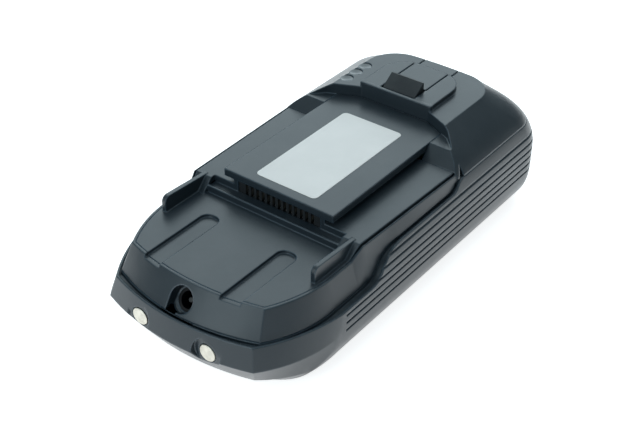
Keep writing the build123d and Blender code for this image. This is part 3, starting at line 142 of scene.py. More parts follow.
class PackColours(bpy.types.PropertyGroup):
    housing: FloatVectorProperty(
        name="Housing", description="Blue-grey plastic of the housing", subtype="COLOR",
        size=3, min=0, max=1, default=(0.017, 0.026, 0.034))
    hook: FloatVectorProperty(
        name="Hook", description="Dark textured plastic of the latch hook", subtype="COLOR",
        size=3, min=0, max=1, default=(0.010, 0.014, 0.017))
    comb: FloatVectorProperty(
        name="Connector", description="Black plastic of the comb connector", subtype="COLOR",
        size=3, min=0, max=1, default=(0.014, 0.016, 0.018))
    contact: FloatVectorProperty(
        name="Dock contact", description="Satin nickel of the dock contacts", subtype="COLOR",
        size=3, min=0, max=1, default=(0.62, 0.59, 0.52))
    label: FloatVectorProperty(
        name="Label", description="Coated paper of the label", subtype="COLOR",
        size=3, min=0, max=1, default=(0.76, 0.725, 0.70))
    lamp: FloatVectorProperty(
        name="Charge lamps", description="Smoked lens of the charge lamps", subtype="COLOR",
        size=3, min=0, max=1, default=(0.030, 0.040, 0.048))


class StudioLight(bpy.types.PropertyGroup):
    world: FloatProperty(
        name="Surroundings", description="Brightness of the studio walls", default=0.32, min=0)
    top: FloatProperty(
        name="Top light", description="Power of the large light overhead",
        default=2.0, min=0, unit="POWER")
    back: FloatProperty(
        name="Back light", description="Power of the light behind the pack",
        default=11.5, min=0, unit="POWER")
    front: FloatProperty(
        name="Front light", description="Power of the light in front of the pack",
        default=4.6, min=0, unit="POWER")
    floor: FloatVectorProperty(
        name="Floor", description="Colour of the studio floor", subtype="COLOR",
        size=3, min=0, max=1, default=(0.88, 0.88, 0.88))


def shape():
    return bpy.context.scene.pack_shape


def colours():
    return bpy.context.scene.pack_colours


# Helpers for shader nodes and Geometry Nodes

def link(tree, source, target):
    tree.links.new(source, target)


def new_tree(name, kind, inputs, outputs):
    """Node tree with named inputs and outputs, and the sockets that its nodes read and fill."""
    tree = bpy.data.node_groups.new(name, kind)
    for label, socket_type, value in inputs:
        socket = tree.interface.new_socket(label, in_out="INPUT", socket_type=socket_type)
        if value is not None:
            socket.default_value = value
    for label, socket_type in outputs:
        tree.interface.new_socket(label, in_out="OUTPUT", socket_type=socket_type)
    start = tree.nodes.new("NodeGroupInput")
    end = tree.nodes.new("NodeGroupOutput")
    return tree, start.outputs, end.inputs


def add_node(tree, kind, inputs, **settings):
    """Node with its settings made, and its inputs linked or set to plain values."""
    node = tree.nodes.new(kind)
    for name, value in settings.items():
        setattr(node, name, value)
    for name, value in inputs.items():
        if isinstance(value, bpy.types.NodeSocket):
            link(tree, value, node.inputs[name])
        else:
            node.inputs[name].default_value = value
    return node


def maths(tree, kind, *values):
    return add_node(tree, "ShaderNodeMath", dict(enumerate(values)), operation=kind).outputs[0]


def plus(tree, first, second):
    return maths(tree, "ADD", first, second)


def minus(tree, first, second):
    return maths(tree, "SUBTRACT", first, second)


def times(tree, first, second):
    return maths(tree, "MULTIPLY", first, second)


def swing(tree, pattern):
    """Noise pattern moved so that it swings round zero."""
    return minus(tree, pattern, NOISE_MEAN)


def between(tree, value, start, end=(0.0, 1.0)):
    """Value taken from one range to another, and held inside it."""
    node = add_node(tree, "ShaderNodeMapRange", {
        "Value": value, "From Min": start[0], "From Max": start[1], "To Min": end[0], "To Max": end[1]},
        clamp=True)
    return node.outputs["Result"]


def noise(tree, where, scale, detail=2.0, roughness=0.5):
    node = add_node(tree, "ShaderNodeTexNoise", {
        "Vector": where, "Scale": scale, "Detail": detail, "Roughness": roughness})
    return node.outputs["Fac"]


def mapped(tree, where, inputs):
    """Coordinates shifted or stretched."""
    return add_node(tree, "ShaderNodeMapping", {"Vector": where, **inputs}).outputs["Vector"]


def paint(tree, colour):
    node = tree.nodes.new("ShaderNodeRGB")
    node.outputs[0].default_value = (*colour, 1.0)
    return node.outputs[0]


def tinted(tree, colour, shade):
    """Colour made lighter or darker by a value round one."""
    grey = add_node(tree, "ShaderNodeCombineColor", {"Red": shade, "Green": shade, "Blue": shade})
    node = add_node(tree, "ShaderNodeMix", {
        "Factor": 1.0, MIX_FIRST: colour, MIX_SECOND: grey.outputs["Color"]},
        data_type="RGBA", blend_type="MULTIPLY")
    return node.outputs[MIX_RESULT]


def add_group(tree, group, inputs):
    return add_node(tree, "ShaderNodeGroup", inputs, node_tree=group).outputs


# Shader node groups for the effects that several finishes share

def moulded_grain():
    """Spark-eroded grain of moulded plastic: fine bumps, uneven sheen and a faint drift of colour."""
    name = "Moulded grain"
    if name in bpy.data.node_groups:
        return bpy.data.node_groups[name]
    tree, given, result = new_tree(
        name, "ShaderNodeTree",
        (("Vector", "NodeSocketVector", None), ("Colour", "NodeSocketColor", (0.05, 0.06, 0.07, 1)),
         ("Grain size", "NodeSocketFloat", 0.35), ("Roughness", "NodeSocketFloat", 0.45),
         ("Drift", "NodeSocketFloat", 0.06)),
        (("Colour", "NodeSocketColor"), ("Roughness", "NodeSocketFloat"), ("Height", "NodeSocketFloat")))
    pores_per_grain = 1.7
    grain_share, pore_share = 0.6, 0.4
    patch_share, speckle_share = 0.5, 0.18
    cloud_sheen, grain_sheen = 0.10, 0.12

    density = maths(tree, "DIVIDE", MM_PER_METRE, given["Grain size"])
    fine = noise(tree, given["Vector"], density, detail=3.0, roughness=0.6)
    pores = add_node(tree, "ShaderNodeTexVoronoi", {
        "Vector": given["Vector"], "Scale": times(tree, density, pores_per_grain)})
    hollows = between(tree, pores.outputs["Distance"], (0.1, 0.6))
    height = plus(tree, times(tree, fine, grain_share), times(tree, hollows, pore_share))
    broad = noise(tree, given["Vector"], scale=26.0, detail=3.0, roughness=0.55)
    patches = noise(tree, given["Vector"], scale=180.0, detail=2.0, roughness=0.5)
    clouds = plus(tree, swing(tree, broad), times(tree, swing(tree, patches), patch_share))
    drifted = plus(tree, 1.0, times(tree, clouds, given["Drift"]))
    shade = plus(tree, drifted, times(tree, swing(tree, fine), speckle_share))
    uneven = plus(tree, times(tree, clouds, cloud_sheen), times(tree, swing(tree, fine), grain_sheen))
    link(tree, tinted(tree, given["Colour"], shade), result["Colour"])
    link(tree, plus(tree, given["Roughness"], uneven), result["Roughness"])
    link(tree, height, result["Height"])
    return tree


def softened_edges_and_highlight():
    """Rounded moulded edges: the turned normal, and a patchy mask along the crests that the finishes use
    to paint a highlight into the colour.
    """
    name = "Softened edges"
    if name in bpy.data.node_groups:
        return bpy.data.node_groups[name]
    tree, given, result = new_tree(
        name, "ShaderNodeTree",
        (("Radius", "NodeSocketFloat", 0.4 * MM), ("Vector", "NodeSocketVector", None)),
        (("Normal", "NodeSocketVector"), ("Crest wear and painted highlight", "NodeSocketFloat")))
    start_of_crest, full_crest = 0.995, 0.86

    round_off = add_node(tree, "ShaderNodeBevel", {"Radius": given["Radius"]}, samples=8)
    face = tree.nodes.new("ShaderNodeNewGeometry")
    turn = add_node(tree, "ShaderNodeVectorMath", {
        0: round_off.outputs["Normal"], 1: face.outputs["Normal"]}, operation="DOT_PRODUCT")
    bend = between(tree, turn.outputs["Value"], (start_of_crest, full_crest))
    # Mask for the painted highlight along the crests, broken into patches like wear
    wear_and_highlight_noise = noise(tree, given["Vector"], scale=240.0, detail=3.0, roughness=0.6)
    patchy = between(tree, wear_and_highlight_noise, (0.35, 0.6), (0.45, 1.0))
    link(tree, times(tree, bend, patchy), result["Crest wear and painted highlight"])
    link(tree, round_off.outputs["Normal"], result["Normal"])
    return tree


def settled_dust():
    """Thin film of dust and handling haze that lies on faces that look up."""
    name = "Settled dust"
    if name in bpy.data.node_groups:
        return bpy.data.node_groups[name]
    tree, given, result = new_tree(
        name, "ShaderNodeTree",
        (("Vector", "NodeSocketVector", None), ("Colour", "NodeSocketColor", (0.05, 0.06, 0.07, 1)),
         ("Amount", "NodeSocketFloat", 0.02)),
        (("Colour", "NodeSocketColor"), ("Film", "NodeSocketFloat")))
    dust_colour = (0.42, 0.43, 0.43, 1)

    face = tree.nodes.new("ShaderNodeNewGeometry")
    parts = add_node(tree, "ShaderNodeSeparateXYZ", {0: face.outputs["Normal"]})
    upward = between(tree, parts.outputs["Z"], (0.35, 0.95))
    haze = noise(tree, given["Vector"], scale=60.0, detail=4.0, roughness=0.6)
    clouds = between(tree, haze, (0.42, 0.7))
    film = times(tree, times(tree, upward, clouds), given["Amount"])
    blend = add_node(tree, "ShaderNodeMix", {
        "Factor": film, MIX_FIRST: given["Colour"], MIX_SECOND: dust_colour}, data_type="RGBA")
    link(tree, blend.outputs[MIX_RESULT], result["Colour"])
    link(tree, film, result["Film"])
    return tree


def turned_rings():
    """Fine concentric tool marks round an axis along Y, for turned or pressed discs."""
    name = "Turned rings"
    if name in bpy.data.node_groups:
        return bpy.data.node_groups[name]
    tree, given, result = new_tree(
        name, "ShaderNodeTree",
        (("Vector", "NodeSocketVector", None), ("Pitch", "NodeSocketFloat", 0.25)),
        (("Height", "NodeSocketFloat"), ("Shade", "NodeSocketFloat")))
    wobble_depth = 3.0

    parts = add_node(tree, "ShaderNodeSeparateXYZ", {0: given["Vector"]})
    across, upward = parts.outputs["X"], parts.outputs["Z"]
    radius = maths(tree, "SQRT", plus(tree, times(tree, across, across), times(tree, upward, upward)))
    phase = times(tree, radius, maths(tree, "DIVIDE", RING_TURN, given["Pitch"]))
    wobble = times(tree, noise(tree, given["Vector"], scale=900.0, detail=2.0), wobble_depth)
    wave = maths(tree, "SINE", plus(tree, phase, wobble))
    stain = noise(tree, given["Vector"], scale=420.0, detail=4.0, roughness=0.6)
    link(tree, plus(tree, 0.5, times(tree, wave, 0.5)), result["Height"])
    link(tree, between(tree, stain, (0.35, 0.7), (0.86, 1.05)), result["Shade"])
    return tree


# Materials

def new_material(name):
    material = bpy.data.materials.new(name)
    material.use_nodes = True
    tree = material.node_tree
    place = tree.nodes.new("ShaderNodeTexCoord")
    return material, tree, tree.nodes["Principled BSDF"], place.outputs["Object"]


def dress(tree, shader, colour, roughness):
    link(tree, colour, shader.inputs["Base Color"])
    link(tree, roughness, shader.inputs["Roughness"])


def bump(tree, shader, pattern, height, strength, normal=None):
    node = add_node(tree, "ShaderNodeBump", {"Height": pattern, "Distance": height, "Strength": strength})
    if normal is not None:
        link(tree, normal, node.inputs["Normal"])
    link(tree, node.outputs["Normal"], shader.inputs["Normal"])


def moulding(name, colour, grain_size, grain_height, roughness, edge_radius, painted_highlight_gain=2.0,
             dust=0.03):
    """Moulded plastic with a spark grain, softened edges that catch the light and have a painted
    highlight along their crests, and a trace of dust.
    """
    if name in bpy.data.materials:
        return bpy.data.materials[name]
    material, tree, shader, where = new_material(name)
    colour_drift, crest_polish, dust_dulling = 0.10, 0.12, 0.6
    grain = add_group(tree, moulded_grain(), {
        "Vector": where, "Colour": (*colour, 1.0), "Grain size": grain_size, "Roughness": roughness,
        "Drift": colour_drift})
    edges = add_group(tree, softened_edges_and_highlight(), {"Radius": edge_radius, "Vector": where})
    # Painted highlight: the colour is made lighter along the edge crests
    painted_highlight_lift = plus(tree, 1.0, times(tree, edges["Crest wear and painted highlight"], painted_highlight_gain))
    film = add_group(tree, settled_dust(), {
        "Vector": where, "Colour": tinted(tree, grain["Colour"], painted_highlight_lift), "Amount": dust})
    smoother = minus(tree, grain["Roughness"], times(tree, edges["Crest wear and painted highlight"], crest_polish))
    dress(tree, shader, film["Colour"], plus(tree, smoother, times(tree, film["Film"], dust_dulling)))
    bump(tree, shader, grain["Height"], grain_height, strength=0.8, normal=edges["Normal"])
    return material


def inner_plastic():
    """Plain dark moulding of the latch bracket and the cell holders."""
    return moulding("Inner plastic", (0.03, 0.031, 0.034), grain_size=0.4, grain_height=0.015 * MM,
                    roughness=0.55, edge_radius=0.3 * MM, dust=0.0)


def soft_finish(name, colour, roughness, grain_size, grain_height, drift, specular=0.5):
    """Matt film, foam, wrap or insulation: clouded colour and a low bump of its own scale."""
    material, tree, shader, where = new_material(name)
    shader.inputs["Specular IOR Level"].default_value = specular
    grain = add_group(tree, moulded_grain(), {
        "Vector": where, "Colour": (*colour, 1.0), "Grain size": grain_size, "Roughness": roughness,
        "Drift": drift})
    dress(tree, shader, grain["Colour"], grain["Roughness"])
    bump(tree, shader, grain["Height"], grain_height, strength=0.8)
    return material


def plain_metal(name, colour, roughness, mark_scale=300.0):
    """Rolled or plated metal with faint streaks and handling marks."""
    material, tree, shader, where = new_material(name)
    shader.inputs["Metallic"].default_value = 1.0
    streaks_per_mark = 6
    rolled = mapped(tree, where, {"Scale": (1.0, 0.12, 1.0)})
    lines = noise(tree, rolled, mark_scale * streaks_per_mark, detail=3.0, roughness=0.6)
    marks = noise(tree, where, mark_scale, detail=4.0, roughness=0.6)
    both = plus(tree, times(tree, lines, 0.5), times(tree, marks, 0.5))
    shade = between(tree, both, NOISE_RANGE, (0.82, 1.08))
    dress(tree, shader, tinted(tree, paint(tree, colour), shade),
          between(tree, marks, NOISE_RANGE, (roughness - 0.08, roughness + 0.12)))
    bump(tree, shader, lines, height=0.004 * MM, strength=0.6)
    return material


def contact_metal(name, colour, centre):
    """Pressed contact disc in satin nickel, with tool marks round its own centre."""
    material, tree, shader, where = new_material(name)
    shader.inputs["Metallic"].default_value = 1.0
    centred = mapped(tree, where, {"Location": (-centre.x, 0.0, -centre.z)})
    rings = add_group(tree, turned_rings(), {"Vector": centred, "Pitch": 0.32})
    haze = noise(tree, centred, scale=700.0, detail=3.0)
    dress(tree, shader, tinted(tree, paint(tree, colour), rings["Shade"]),
          between(tree, haze, NOISE_RANGE, (0.42, 0.6)))
    bump(tree, shader, rings["Height"], height=0.006 * MM, strength=0.7)
    return material


def label_paper(name, colour):
    """Coated label paper: fibres under the gloss, faint clouding and a few soft blisters."""
    material, tree, shader, where = new_material(name)
    shader.inputs["Specular IOR Level"].default_value = 0.4
    fibre_tint, fibre_relief = 0.05, 0.15
    along = mapped(tree, where, {"Scale": (1.0, 0.25, 1.0)})
    fibres = noise(tree, along, scale=2600.0, detail=3.0, roughness=0.7)
    clouds = noise(tree, where, scale=70.0, detail=3.0, roughness=0.5)
    blisters = between(tree, noise(tree, where, scale=130.0, detail=1.0), (0.62, 0.78))
    shade = plus(tree, between(tree, clouds, NOISE_RANGE, (0.96, 1.02)),
                 times(tree, swing(tree, fibres), fibre_tint))
    dress(tree, shader, tinted(tree, paint(tree, colour), shade),
          between(tree, fibres, NOISE_RANGE, (0.32, 0.5)))
    relief = plus(tree, times(tree, fibres, fibre_relief), blisters)
    bump(tree, shader, relief, height=0.03 * MM, strength=0.5)
    return material


def smoked_lens(name, colour, edge_radius):
    """Smoked light guide: dark body under a clear polished skin."""
    material, tree, shader, where = new_material(name)
    shader.inputs["Coat Weight"].default_value = 0.6
    shader.inputs["Coat Roughness"].default_value = 0.12
    depth = noise(tree, where, scale=320.0, detail=2.0)
    edges = add_group(tree, softened_edges_and_highlight(), {"Radius": edge_radius, "Vector": where})
    # Painted highlight: the crest mask makes the lens colour lighter along its edges
    shade = plus(tree, between(tree, depth, NOISE_RANGE, (0.85, 1.1)), edges["Crest wear and painted highlight"])
    dress(tree, shader, tinted(tree, paint(tree, colour), shade),
          between(tree, depth, NOISE_RANGE, (0.3, 0.42)))
    link(tree, edges["Normal"], shader.inputs["Normal"])
    return material


def board_lacquer(name):
    """Green solder resist over copper tracks."""
    material, tree, shader, where = new_material(name)
    tracks = add_node(tree, "ShaderNodeTexBrick", {
        "Vector": where, "Scale": 90.0, "Mortar Size": 0.03, "Color1": (0.012, 0.10, 0.045, 1),
        "Color2": (0.016, 0.12, 0.05, 1), "Mortar": (0.03, 0.19, 0.08, 1)})
    sheen = noise(tree, where, scale=400.0, detail=3.0)
    dress(tree, shader, tracks.outputs["Color"], between(tree, sheen, NOISE_RANGE, (0.28, 0.42)))
    bump(tree, shader, tracks.outputs["Fac"], height=0.02 * MM, strength=0.5)
    return material


# Mesh helpers

def give(obj, material):
    """Puts one material on every slot of an object."""
    if not obj.material_slots:
        obj.data.materials.append(material)
    for slot in obj.material_slots:
        slot.material = material


def linked(name, data):
    obj = bpy.data.objects.new(name, data)
    bpy.context.scene.collection.objects.link(obj)
    return obj


def apply_modifiers(obj, name):
    """Gives an object the mesh that its modifiers make, and takes the modifiers off."""
    bpy.context.view_layer.update()
    made = bpy.data.meshes.new_from_object(obj.evaluated_get(bpy.context.evaluated_depsgraph_get()))
    obj.modifiers.clear()
    obj.data = made
    obj.data.name = name


def direction(edge):
    return (edge.verts[0].co - edge.verts[1].co).normalized()


def lone_crease(edge, turns):
    """True where the faces on both sides of an edge run on flat, so that it is no step of a curve."""
    along = direction(edge)
    for face in edge.link_faces:
        flat = [face]
        for near in flat:
            for side in near.edges:
                if side is edge:
                    continue
                alike = abs(direction(side).dot(along)) > LIKE_DIRECTION
                if alike and turns[side] > LIKE_TURN * turns[edge]:
                    return False
                if turns[side] < FLAT and len(flat) < FLAT_REACH:
                    flat.extend(other for other in side.link_faces if other not in flat)
    return True


def smooth_copy(node, name, crease):
    """Copy of a CAD node with its triangles joined, and its faces shaded smooth up to an angle."""
    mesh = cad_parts[node].data.copy()
    mesh.name = name
    mesh.materials.clear()
    work = bmesh.new()
    work.from_mesh(mesh)
    bmesh.ops.remove_doubles(work, verts=work.verts, dist=MERGE_DISTANCE)
    bmesh.ops.dissolve_degenerate(work, dist=SLIVER, edges=work.edges)
    for face in work.faces:
        face.smooth = True
    turns = {edge: edge.calc_face_angle(math.pi) for edge in work.edges}
    for edge, turn in turns.items():
        edge.smooth = turn < crease and (turn < CREASE_LEAST or not lone_crease(edge, turns))
    work.to_mesh(mesh)
    work.free()
    if "custom_normal" in mesh.attributes:
        mesh.attributes.remove(mesh.attributes["custom_normal"])
    obj = linked(name, mesh)
    weigh = obj.modifiers.new("Face weights", "WEIGHTED_NORMAL")
    weigh.keep_sharp = True
    weigh.weight = FACE_WEIGHT
    apply_modifiers(obj, name)
    return obj


def baked_nodes(name, tree, values):
    """Object whose mesh is what a Geometry Nodes tree makes from the named inputs."""
    obj = linked(name, bpy.data.meshes.new(name))
    modifier = obj.modifiers.new("Nodes", "NODES")
    modifier.node_group = tree
    for socket in tree.interface.items_tree:
        if socket.in_out == "INPUT" and socket.name in values:
            modifier[socket.identifier] = values[socket.name]
    apply_modifiers(obj, name)
    if not obj.data.polygons:
        raise RuntimeError(f"{name} came out empty")
    return obj


def rounded_outline(low, high, radius):
    """Points round a rectangle with rounded corners, anticlockwise from its right side."""
    left, right = low.x + radius, high.x - radius
    front, back = low.y + radius, high.y - radius
    outline = []
    for x, y, first in ((right, back, 0), (left, back, 90), (left, front, 180), (right, front, 270)):
        for step in range(CORNER_STEPS + 1):
            angle = math.radians(first + step * 90 / CORNER_STEPS)
            outline.append((x + radius * math.cos(angle), y + radius * math.sin(angle)))
    return outline


def sheet_mesh(name, low, high, radius):
    """Label of a box's size, with rounded corners and a bevelled rim."""
    outline = rounded_outline(low, high, radius)
    count = len(outline)
    middle_x, middle_y = (low.x + high.x) / 2, (low.y + high.y) / 2
    work = bmesh.new()
    loops = []
    for inset, z in ((0.0, low.z), (0.0, high.z - LABEL_EDGE), (LABEL_RIM, high.z)):
        ring = []
        for x, y in outline:
            share_x = (x - middle_x) / (high.x - middle_x)
            share_y = (y - middle_y) / (high.y - middle_y)
            ring.append(work.verts.new((x - inset * share_x, y - inset * share_y, z)))
        loops.append(ring)
    for lower, upper in zip(loops, loops[1:]):
        for index in range(count):
            after = (index + 1) % count
            work.faces.new((lower[index], lower[after], upper[after], upper[index]))
    work.faces.new(loops[-1])
    work.faces.new(list(reversed(loops[0])))
    bmesh.ops.recalc_face_normals(work, faces=work.faces)
    mesh = bpy.data.meshes.new(name)
    work.to_mesh(mesh)
    work.free()
    return mesh


def in_section(y, z):
    """Point in the middle section of the pack, from millimetres."""
    return (0, y * MM, z * MM)


def contact_blade_tree():
    """Row of spring blades bent from strip: an arched finger, a flat run and a solder tail."""
    tree, given, result = new_tree(
        "Contact blades", "GeometryNodeTree",
        (("Geometry", "NodeSocketGeometry", None), ("Count", "NodeSocketInt", BLADE_COUNT),
         ("Pitch", "NodeSocketFloat", BLADE_PITCH), ("Width", "NodeSocketFloat", BLADE_WIDTH),
         ("Thickness", "NodeSocketFloat", BLADE_THICKNESS), ("Material", "NodeSocketMaterial", None)),
        (("Geometry", "NodeSocketGeometry"),))
    top = in_section(-26.85, 40.5)
    knee = in_section(-27.05, 38.3)
    toe = in_section(-28.75, 37.15)
    sole = in_section(-27.6, 36.95)
    heel = in_section(-26.3, 37.05)
    floor_run = in_section(-23, 37.05)
    rear = in_section(-19.9, 37.05)
    joggle = in_section(-19.8, 36.6)
    step = in_section(-19.9, 36.15)
    solder_run = in_section(-19.3, 36.15)
    tail = in_section(-18.7, 36.15)

    strip = tree.nodes.new("GeometryNodeJoinGeometry")
    for resolution, start, middle, end in ((10, top, knee, toe), (4, toe, sole, heel),
                                           (2, heel, floor_run, rear), (2, rear, joggle, step),
                                           (2, step, solder_run, tail)):
        bend = add_node(tree, "GeometryNodeCurveQuadraticBezier", {
            "Resolution": resolution, "Start": start, "Middle": middle, "End": end})
        link(tree, bend.outputs["Curve"], strip.inputs[0])
    across = add_node(tree, "GeometryNodeSetCurveNormal", {
        "Curve": strip.outputs[0], "Normal": (1, 0, 0)}, mode="FREE")
    profile = add_node(tree, "GeometryNodeCurvePrimitiveQuadrilateral", {
        "Width": given["Width"], "Height": given["Thickness"]})
    blade = add_node(tree, "GeometryNodeCurveToMesh", {
        "Curve": across.outputs["Curve"], "Profile Curve": profile.outputs["Curve"], "Fill Caps": True})
    span = times(tree, minus(tree, given["Count"], 1.0), given["Pitch"])
    begin = add_node(tree, "ShaderNodeCombineXYZ", {"X": times(tree, span, -0.5)})
    offset = add_node(tree, "ShaderNodeCombineXYZ", {"X": given["Pitch"]})
    row = add_node(tree, "GeometryNodeMeshLine", {
        "Count": given["Count"], "Start Location": begin.outputs[0], "Offset": offset.outputs[0]})
    comb = add_node(tree, "GeometryNodeInstanceOnPoints", {
        "Points": row.outputs["Mesh"], "Instance": blade.outputs["Mesh"]})
    real = add_node(tree, "GeometryNodeRealizeInstances", {"Geometry": comb.outputs["Instances"]})
    finish = add_node(tree, "GeometryNodeSetMaterial", {
        "Geometry": real.outputs["Geometry"], "Material": given["Material"]})
    link(tree, finish.outputs["Geometry"], result[0])
    return tree


# Studio

def place_camera():
    """Camera of the photograph: its lens, the way it looks and where it stands."""
    lens = bpy.data.cameras.new("Camera")
    lens.lens = FOCAL_LENGTH
    lens.sensor_width = SENSOR_WIDTH
    lens.clip_start = NEAREST_SEEN
    camera = linked("Camera", lens)
    back = Vector((math.sin(AZIMUTH) * math.cos(ELEVATION), -math.cos(AZIMUTH) * math.cos(ELEVATION),
                   math.sin(ELEVATION)))
    right = Vector((math.cos(AZIMUTH), math.sin(AZIMUTH), 0))
    up = back.cross(right)
    turned_right = math.cos(ROLL) * right - math.sin(ROLL) * up
    turned_up = math.sin(ROLL) * right + math.cos(ROLL) * up
    turn = Matrix((turned_right, turned_up, back)).transposed()
    camera.matrix_world = Matrix.Translation(CAMERA_PLACE) @ turn.to_4x4()
    bpy.context.scene.camera = camera


def paint_walls(brightness):
    """Bluish surroundings that light the pack, and that the camera sees as white."""
    world = bpy.data.worlds.new("Studio")
    world.use_nodes = True
    tree = world.node_tree
    tree.nodes.clear()
    walls = add_node(tree, "ShaderNodeBackground", {"Color": WALL_TINT, "Strength": brightness})
    white = add_node(tree, "ShaderNodeBackground", {"Color": WHITE, "Strength": 1.0})
    ray = tree.nodes.new("ShaderNodeLightPath")
    seen = maths(tree, "MAXIMUM", ray.outputs["Is Camera Ray"], ray.outputs["Is Transmission Ray"])
    choose = add_node(tree, "ShaderNodeMixShader", {
        "Fac": seen, 1: walls.outputs[0], 2: white.outputs[0]})
    add_node(tree, "ShaderNodeOutputWorld", {"Surface": choose.outputs[0]})
    bpy.context.scene.world = world


def hang_softboxes(light):
    """Square softboxes over, behind and in front of the pack, each turned towards it."""
    for name, power, size, place in (
            ("Top softbox", light.top, 0.9, (0.0, 0.10, 1.10)),
            ("Back softbox", light.back, 1.4, (-0.66, 0.86, 0.80)),
            ("Front softbox", light.front, 0.7, (-0.16, -1.02, 0.52))):
        lamp = bpy.data.lights.new(name, "AREA")
        lamp.shape = "SQUARE"
        lamp.size = size
        lamp.energy = power
        lamp.color = SOFTBOX_TINT
        turn = (AIM - Vector(place)).to_track_quat("-Z", "Y")
        linked(name, lamp).matrix_world = Matrix.Translation(place) @ turn.to_matrix().to_4x4()


def paper_floor(colour):
    """Floor of matt paper that shows white to the camera and in reflections, and takes shadows."""
    mesh = bpy.data.meshes.new("Floor")
    work = bmesh.new()
    bmesh.ops.create_grid(work, x_segments=FLOOR_SQUARES, y_segments=FLOOR_SQUARES, size=FLOOR_REACH)
    work.to_mesh(mesh)
    work.free()
    paper = bpy.data.materials.new("Studio paper")
    paper.use_nodes = True
    tree = paper.node_tree
    tree.nodes.clear()
    ray = tree.nodes.new("ShaderNodeLightPath")
    seen = times(tree, ray.outputs["Is Camera Ray"], FLOOR_GLOW)
    shown = plus(tree, seen, ray.outputs["Is Glossy Ray"])
    matt = add_node(tree, "ShaderNodeBsdfDiffuse", {"Color": (*colour, 1)})
    glow = add_node(tree, "ShaderNodeEmission", {"Strength": shown})
    both = add_node(tree, "ShaderNodeAddShader", {0: matt.outputs[0], 1: glow.outputs[0]})
    add_node(tree, "ShaderNodeOutputMaterial", {"Surface": both.outputs[0]})
    floor = linked("Floor", mesh)
    give(floor, paper)
    return floor


# Operators: one for the stage and one for each group of pieces

class PACK_OT_stage(bpy.types.Operator):
    """Set up the camera, the lights and the white floor"""
    bl_idname = "pack.stage"
    bl_label = "Stage"

    def execute(self, context):
        light = context.scene.pack_light
        context.scene.view_settings.view_transform = "Standard"
        place_camera()
        paint_walls(light.world)
        hang_softboxes(light)
        floor = paper_floor(light.floor)
        return {"FINISHED"}


class PACK_OT_housing(bpy.types.Operator):
    """Finish the tub, the upper housing, the deck and the release lever"""
    bl_idname = "pack.housing"
    bl_label = "Housing"

    def execute(self, context):
        size = shape()
        plastic = moulding("Housing plastic", colours().housing, grain_size=0.34,
                           grain_height=size.grain_height, roughness=0.33, edge_radius=size.edge_radius)
        for node, name, body in (("lower_tub", "tub_moulding", "pack"),
                                 ("upper_housing", "upper_moulding", "pack"),
                                 ("interface_deck", "deck_moulding", "pack"),
                                 ("release_lever", "lever_moulding", "latch")):
            piece = smooth_copy(node, name, size.crease_angle)
            give(piece, plastic)
            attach(piece, body)
            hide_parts(node)
        return {"FINISHED"}


class PACK_OT_latch(bpy.types.Operator):
    """Finish the hook, the bracket, the pivot pin and the spring of the latch"""
    bl_idname = "pack.latch"
    bl_label = "Latch"

    def execute(self, context):
        piece = smooth_copy("latch_hook", "hook_moulding", shape().crease_angle)
        give(piece, moulding("Hook plastic", colours().hook, grain_size=0.55, grain_height=0.05 * MM,
                             roughness=0.62, edge_radius=0.3 * MM, painted_highlight_gain=0.8, dust=0.05))
        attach(piece, "latch")
        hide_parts("latch_hook")
        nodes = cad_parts
        steel = plain_metal("Bright steel", (0.56, 0.56, 0.57), roughness=0.28)
        give(nodes["latch_bracket"], inner_plastic())
        give(nodes["latch_pivot_pin"], steel)
        give(nodes["latch_spring"], steel)
        return {"FINISHED"}


class PACK_OT_connector(bpy.types.Operator):
    """Make the contact blades and finish the comb connector and the charging socket"""
    bl_idname = "pack.connector"
    bl_label = "Connector and socket"

    def execute(self, context):
        size = shape()
        plating = plain_metal("Plated contact strip", (0.50, 0.46, 0.38), roughness=0.34,
                              mark_scale=500.0)
        blades = baked_nodes("contact_blades", contact_blade_tree(), {
            "Count": size.blade_count, "Pitch": size.blade_pitch, "Width": size.blade_width,
            "Thickness": size.blade_thickness, "Material": plating})
        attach(blades, "pack")
        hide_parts("connector_contacts")
        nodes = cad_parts
        # The high gain paints a strong highlight into the comb's colour along its edges
        give(nodes["connector_housing"], moulding(
            "Connector plastic", colours().comb, grain_size=0.3, grain_height=0.010 * MM, roughness=0.40,
            edge_radius=0.25 * MM, painted_highlight_gain=4.0, dust=0.0))
        give(nodes["jack_socket"], soft_finish(
            "Socket plastic", (0.004, 0.004, 0.005), roughness=0.6, grain_size=0.5,
            grain_height=0.01 * MM, drift=0.2, specular=0.3))
        # Painted shade: the pin's metal is darkened almost to black so the jack hole reads as in shadow
        give(nodes["jack_pin"], plain_metal("Dull pin", (0.06, 0.06, 0.06), roughness=0.5))
        return {"FINISHED"}


class PACK_OT_contacts(bpy.types.Operator):
    """Finish the two dock contacts and their solder tags"""
    bl_idname = "pack.contacts"
    bl_label = "Dock contacts"

    def execute(self, context):
        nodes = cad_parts
        for side in ("left", "right"):
            low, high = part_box("dock_contact_" + side)
            metal = contact_metal("Dock contact " + side, colours().contact, (low + high) / 2)
            give(nodes["dock_contact_" + side], metal)
        give(nodes["dock_contact_tags"], plain_metal("Tinned brass", (0.66, 0.58, 0.42), roughness=0.36))
        return {"FINISHED"}


class PACK_OT_label(bpy.types.Operator):
    """Finish the blank paper label on the rail plate"""
    bl_idname = "pack.label"
    bl_label = "Label"

    def execute(self, context):
        low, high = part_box("label")
        sheet = linked("label_sheet", sheet_mesh("label_sheet", low, high, shape().label_radius))
        give(sheet, label_paper("Label paper", colours().label))
        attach(sheet, "pack")
        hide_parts("label")
        return {"FINISHED"}


class PACK_OT_lamps(bpy.types.Operator):
    """Finish the smoked lenses of the charge lamps"""
    bl_idname = "pack.lamps"
    bl_label = "Charge lamps"

    def execute(self, context):
        piece = smooth_copy("led_light_guide", "lamp_lenses", shape().crease_angle)
        give(piece, smoked_lens("Smoked lens", colours().lamp, edge_radius=0.25 * MM))
        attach(piece, "pack")
        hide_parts("led_light_guide")
        return {"FINISHED"}


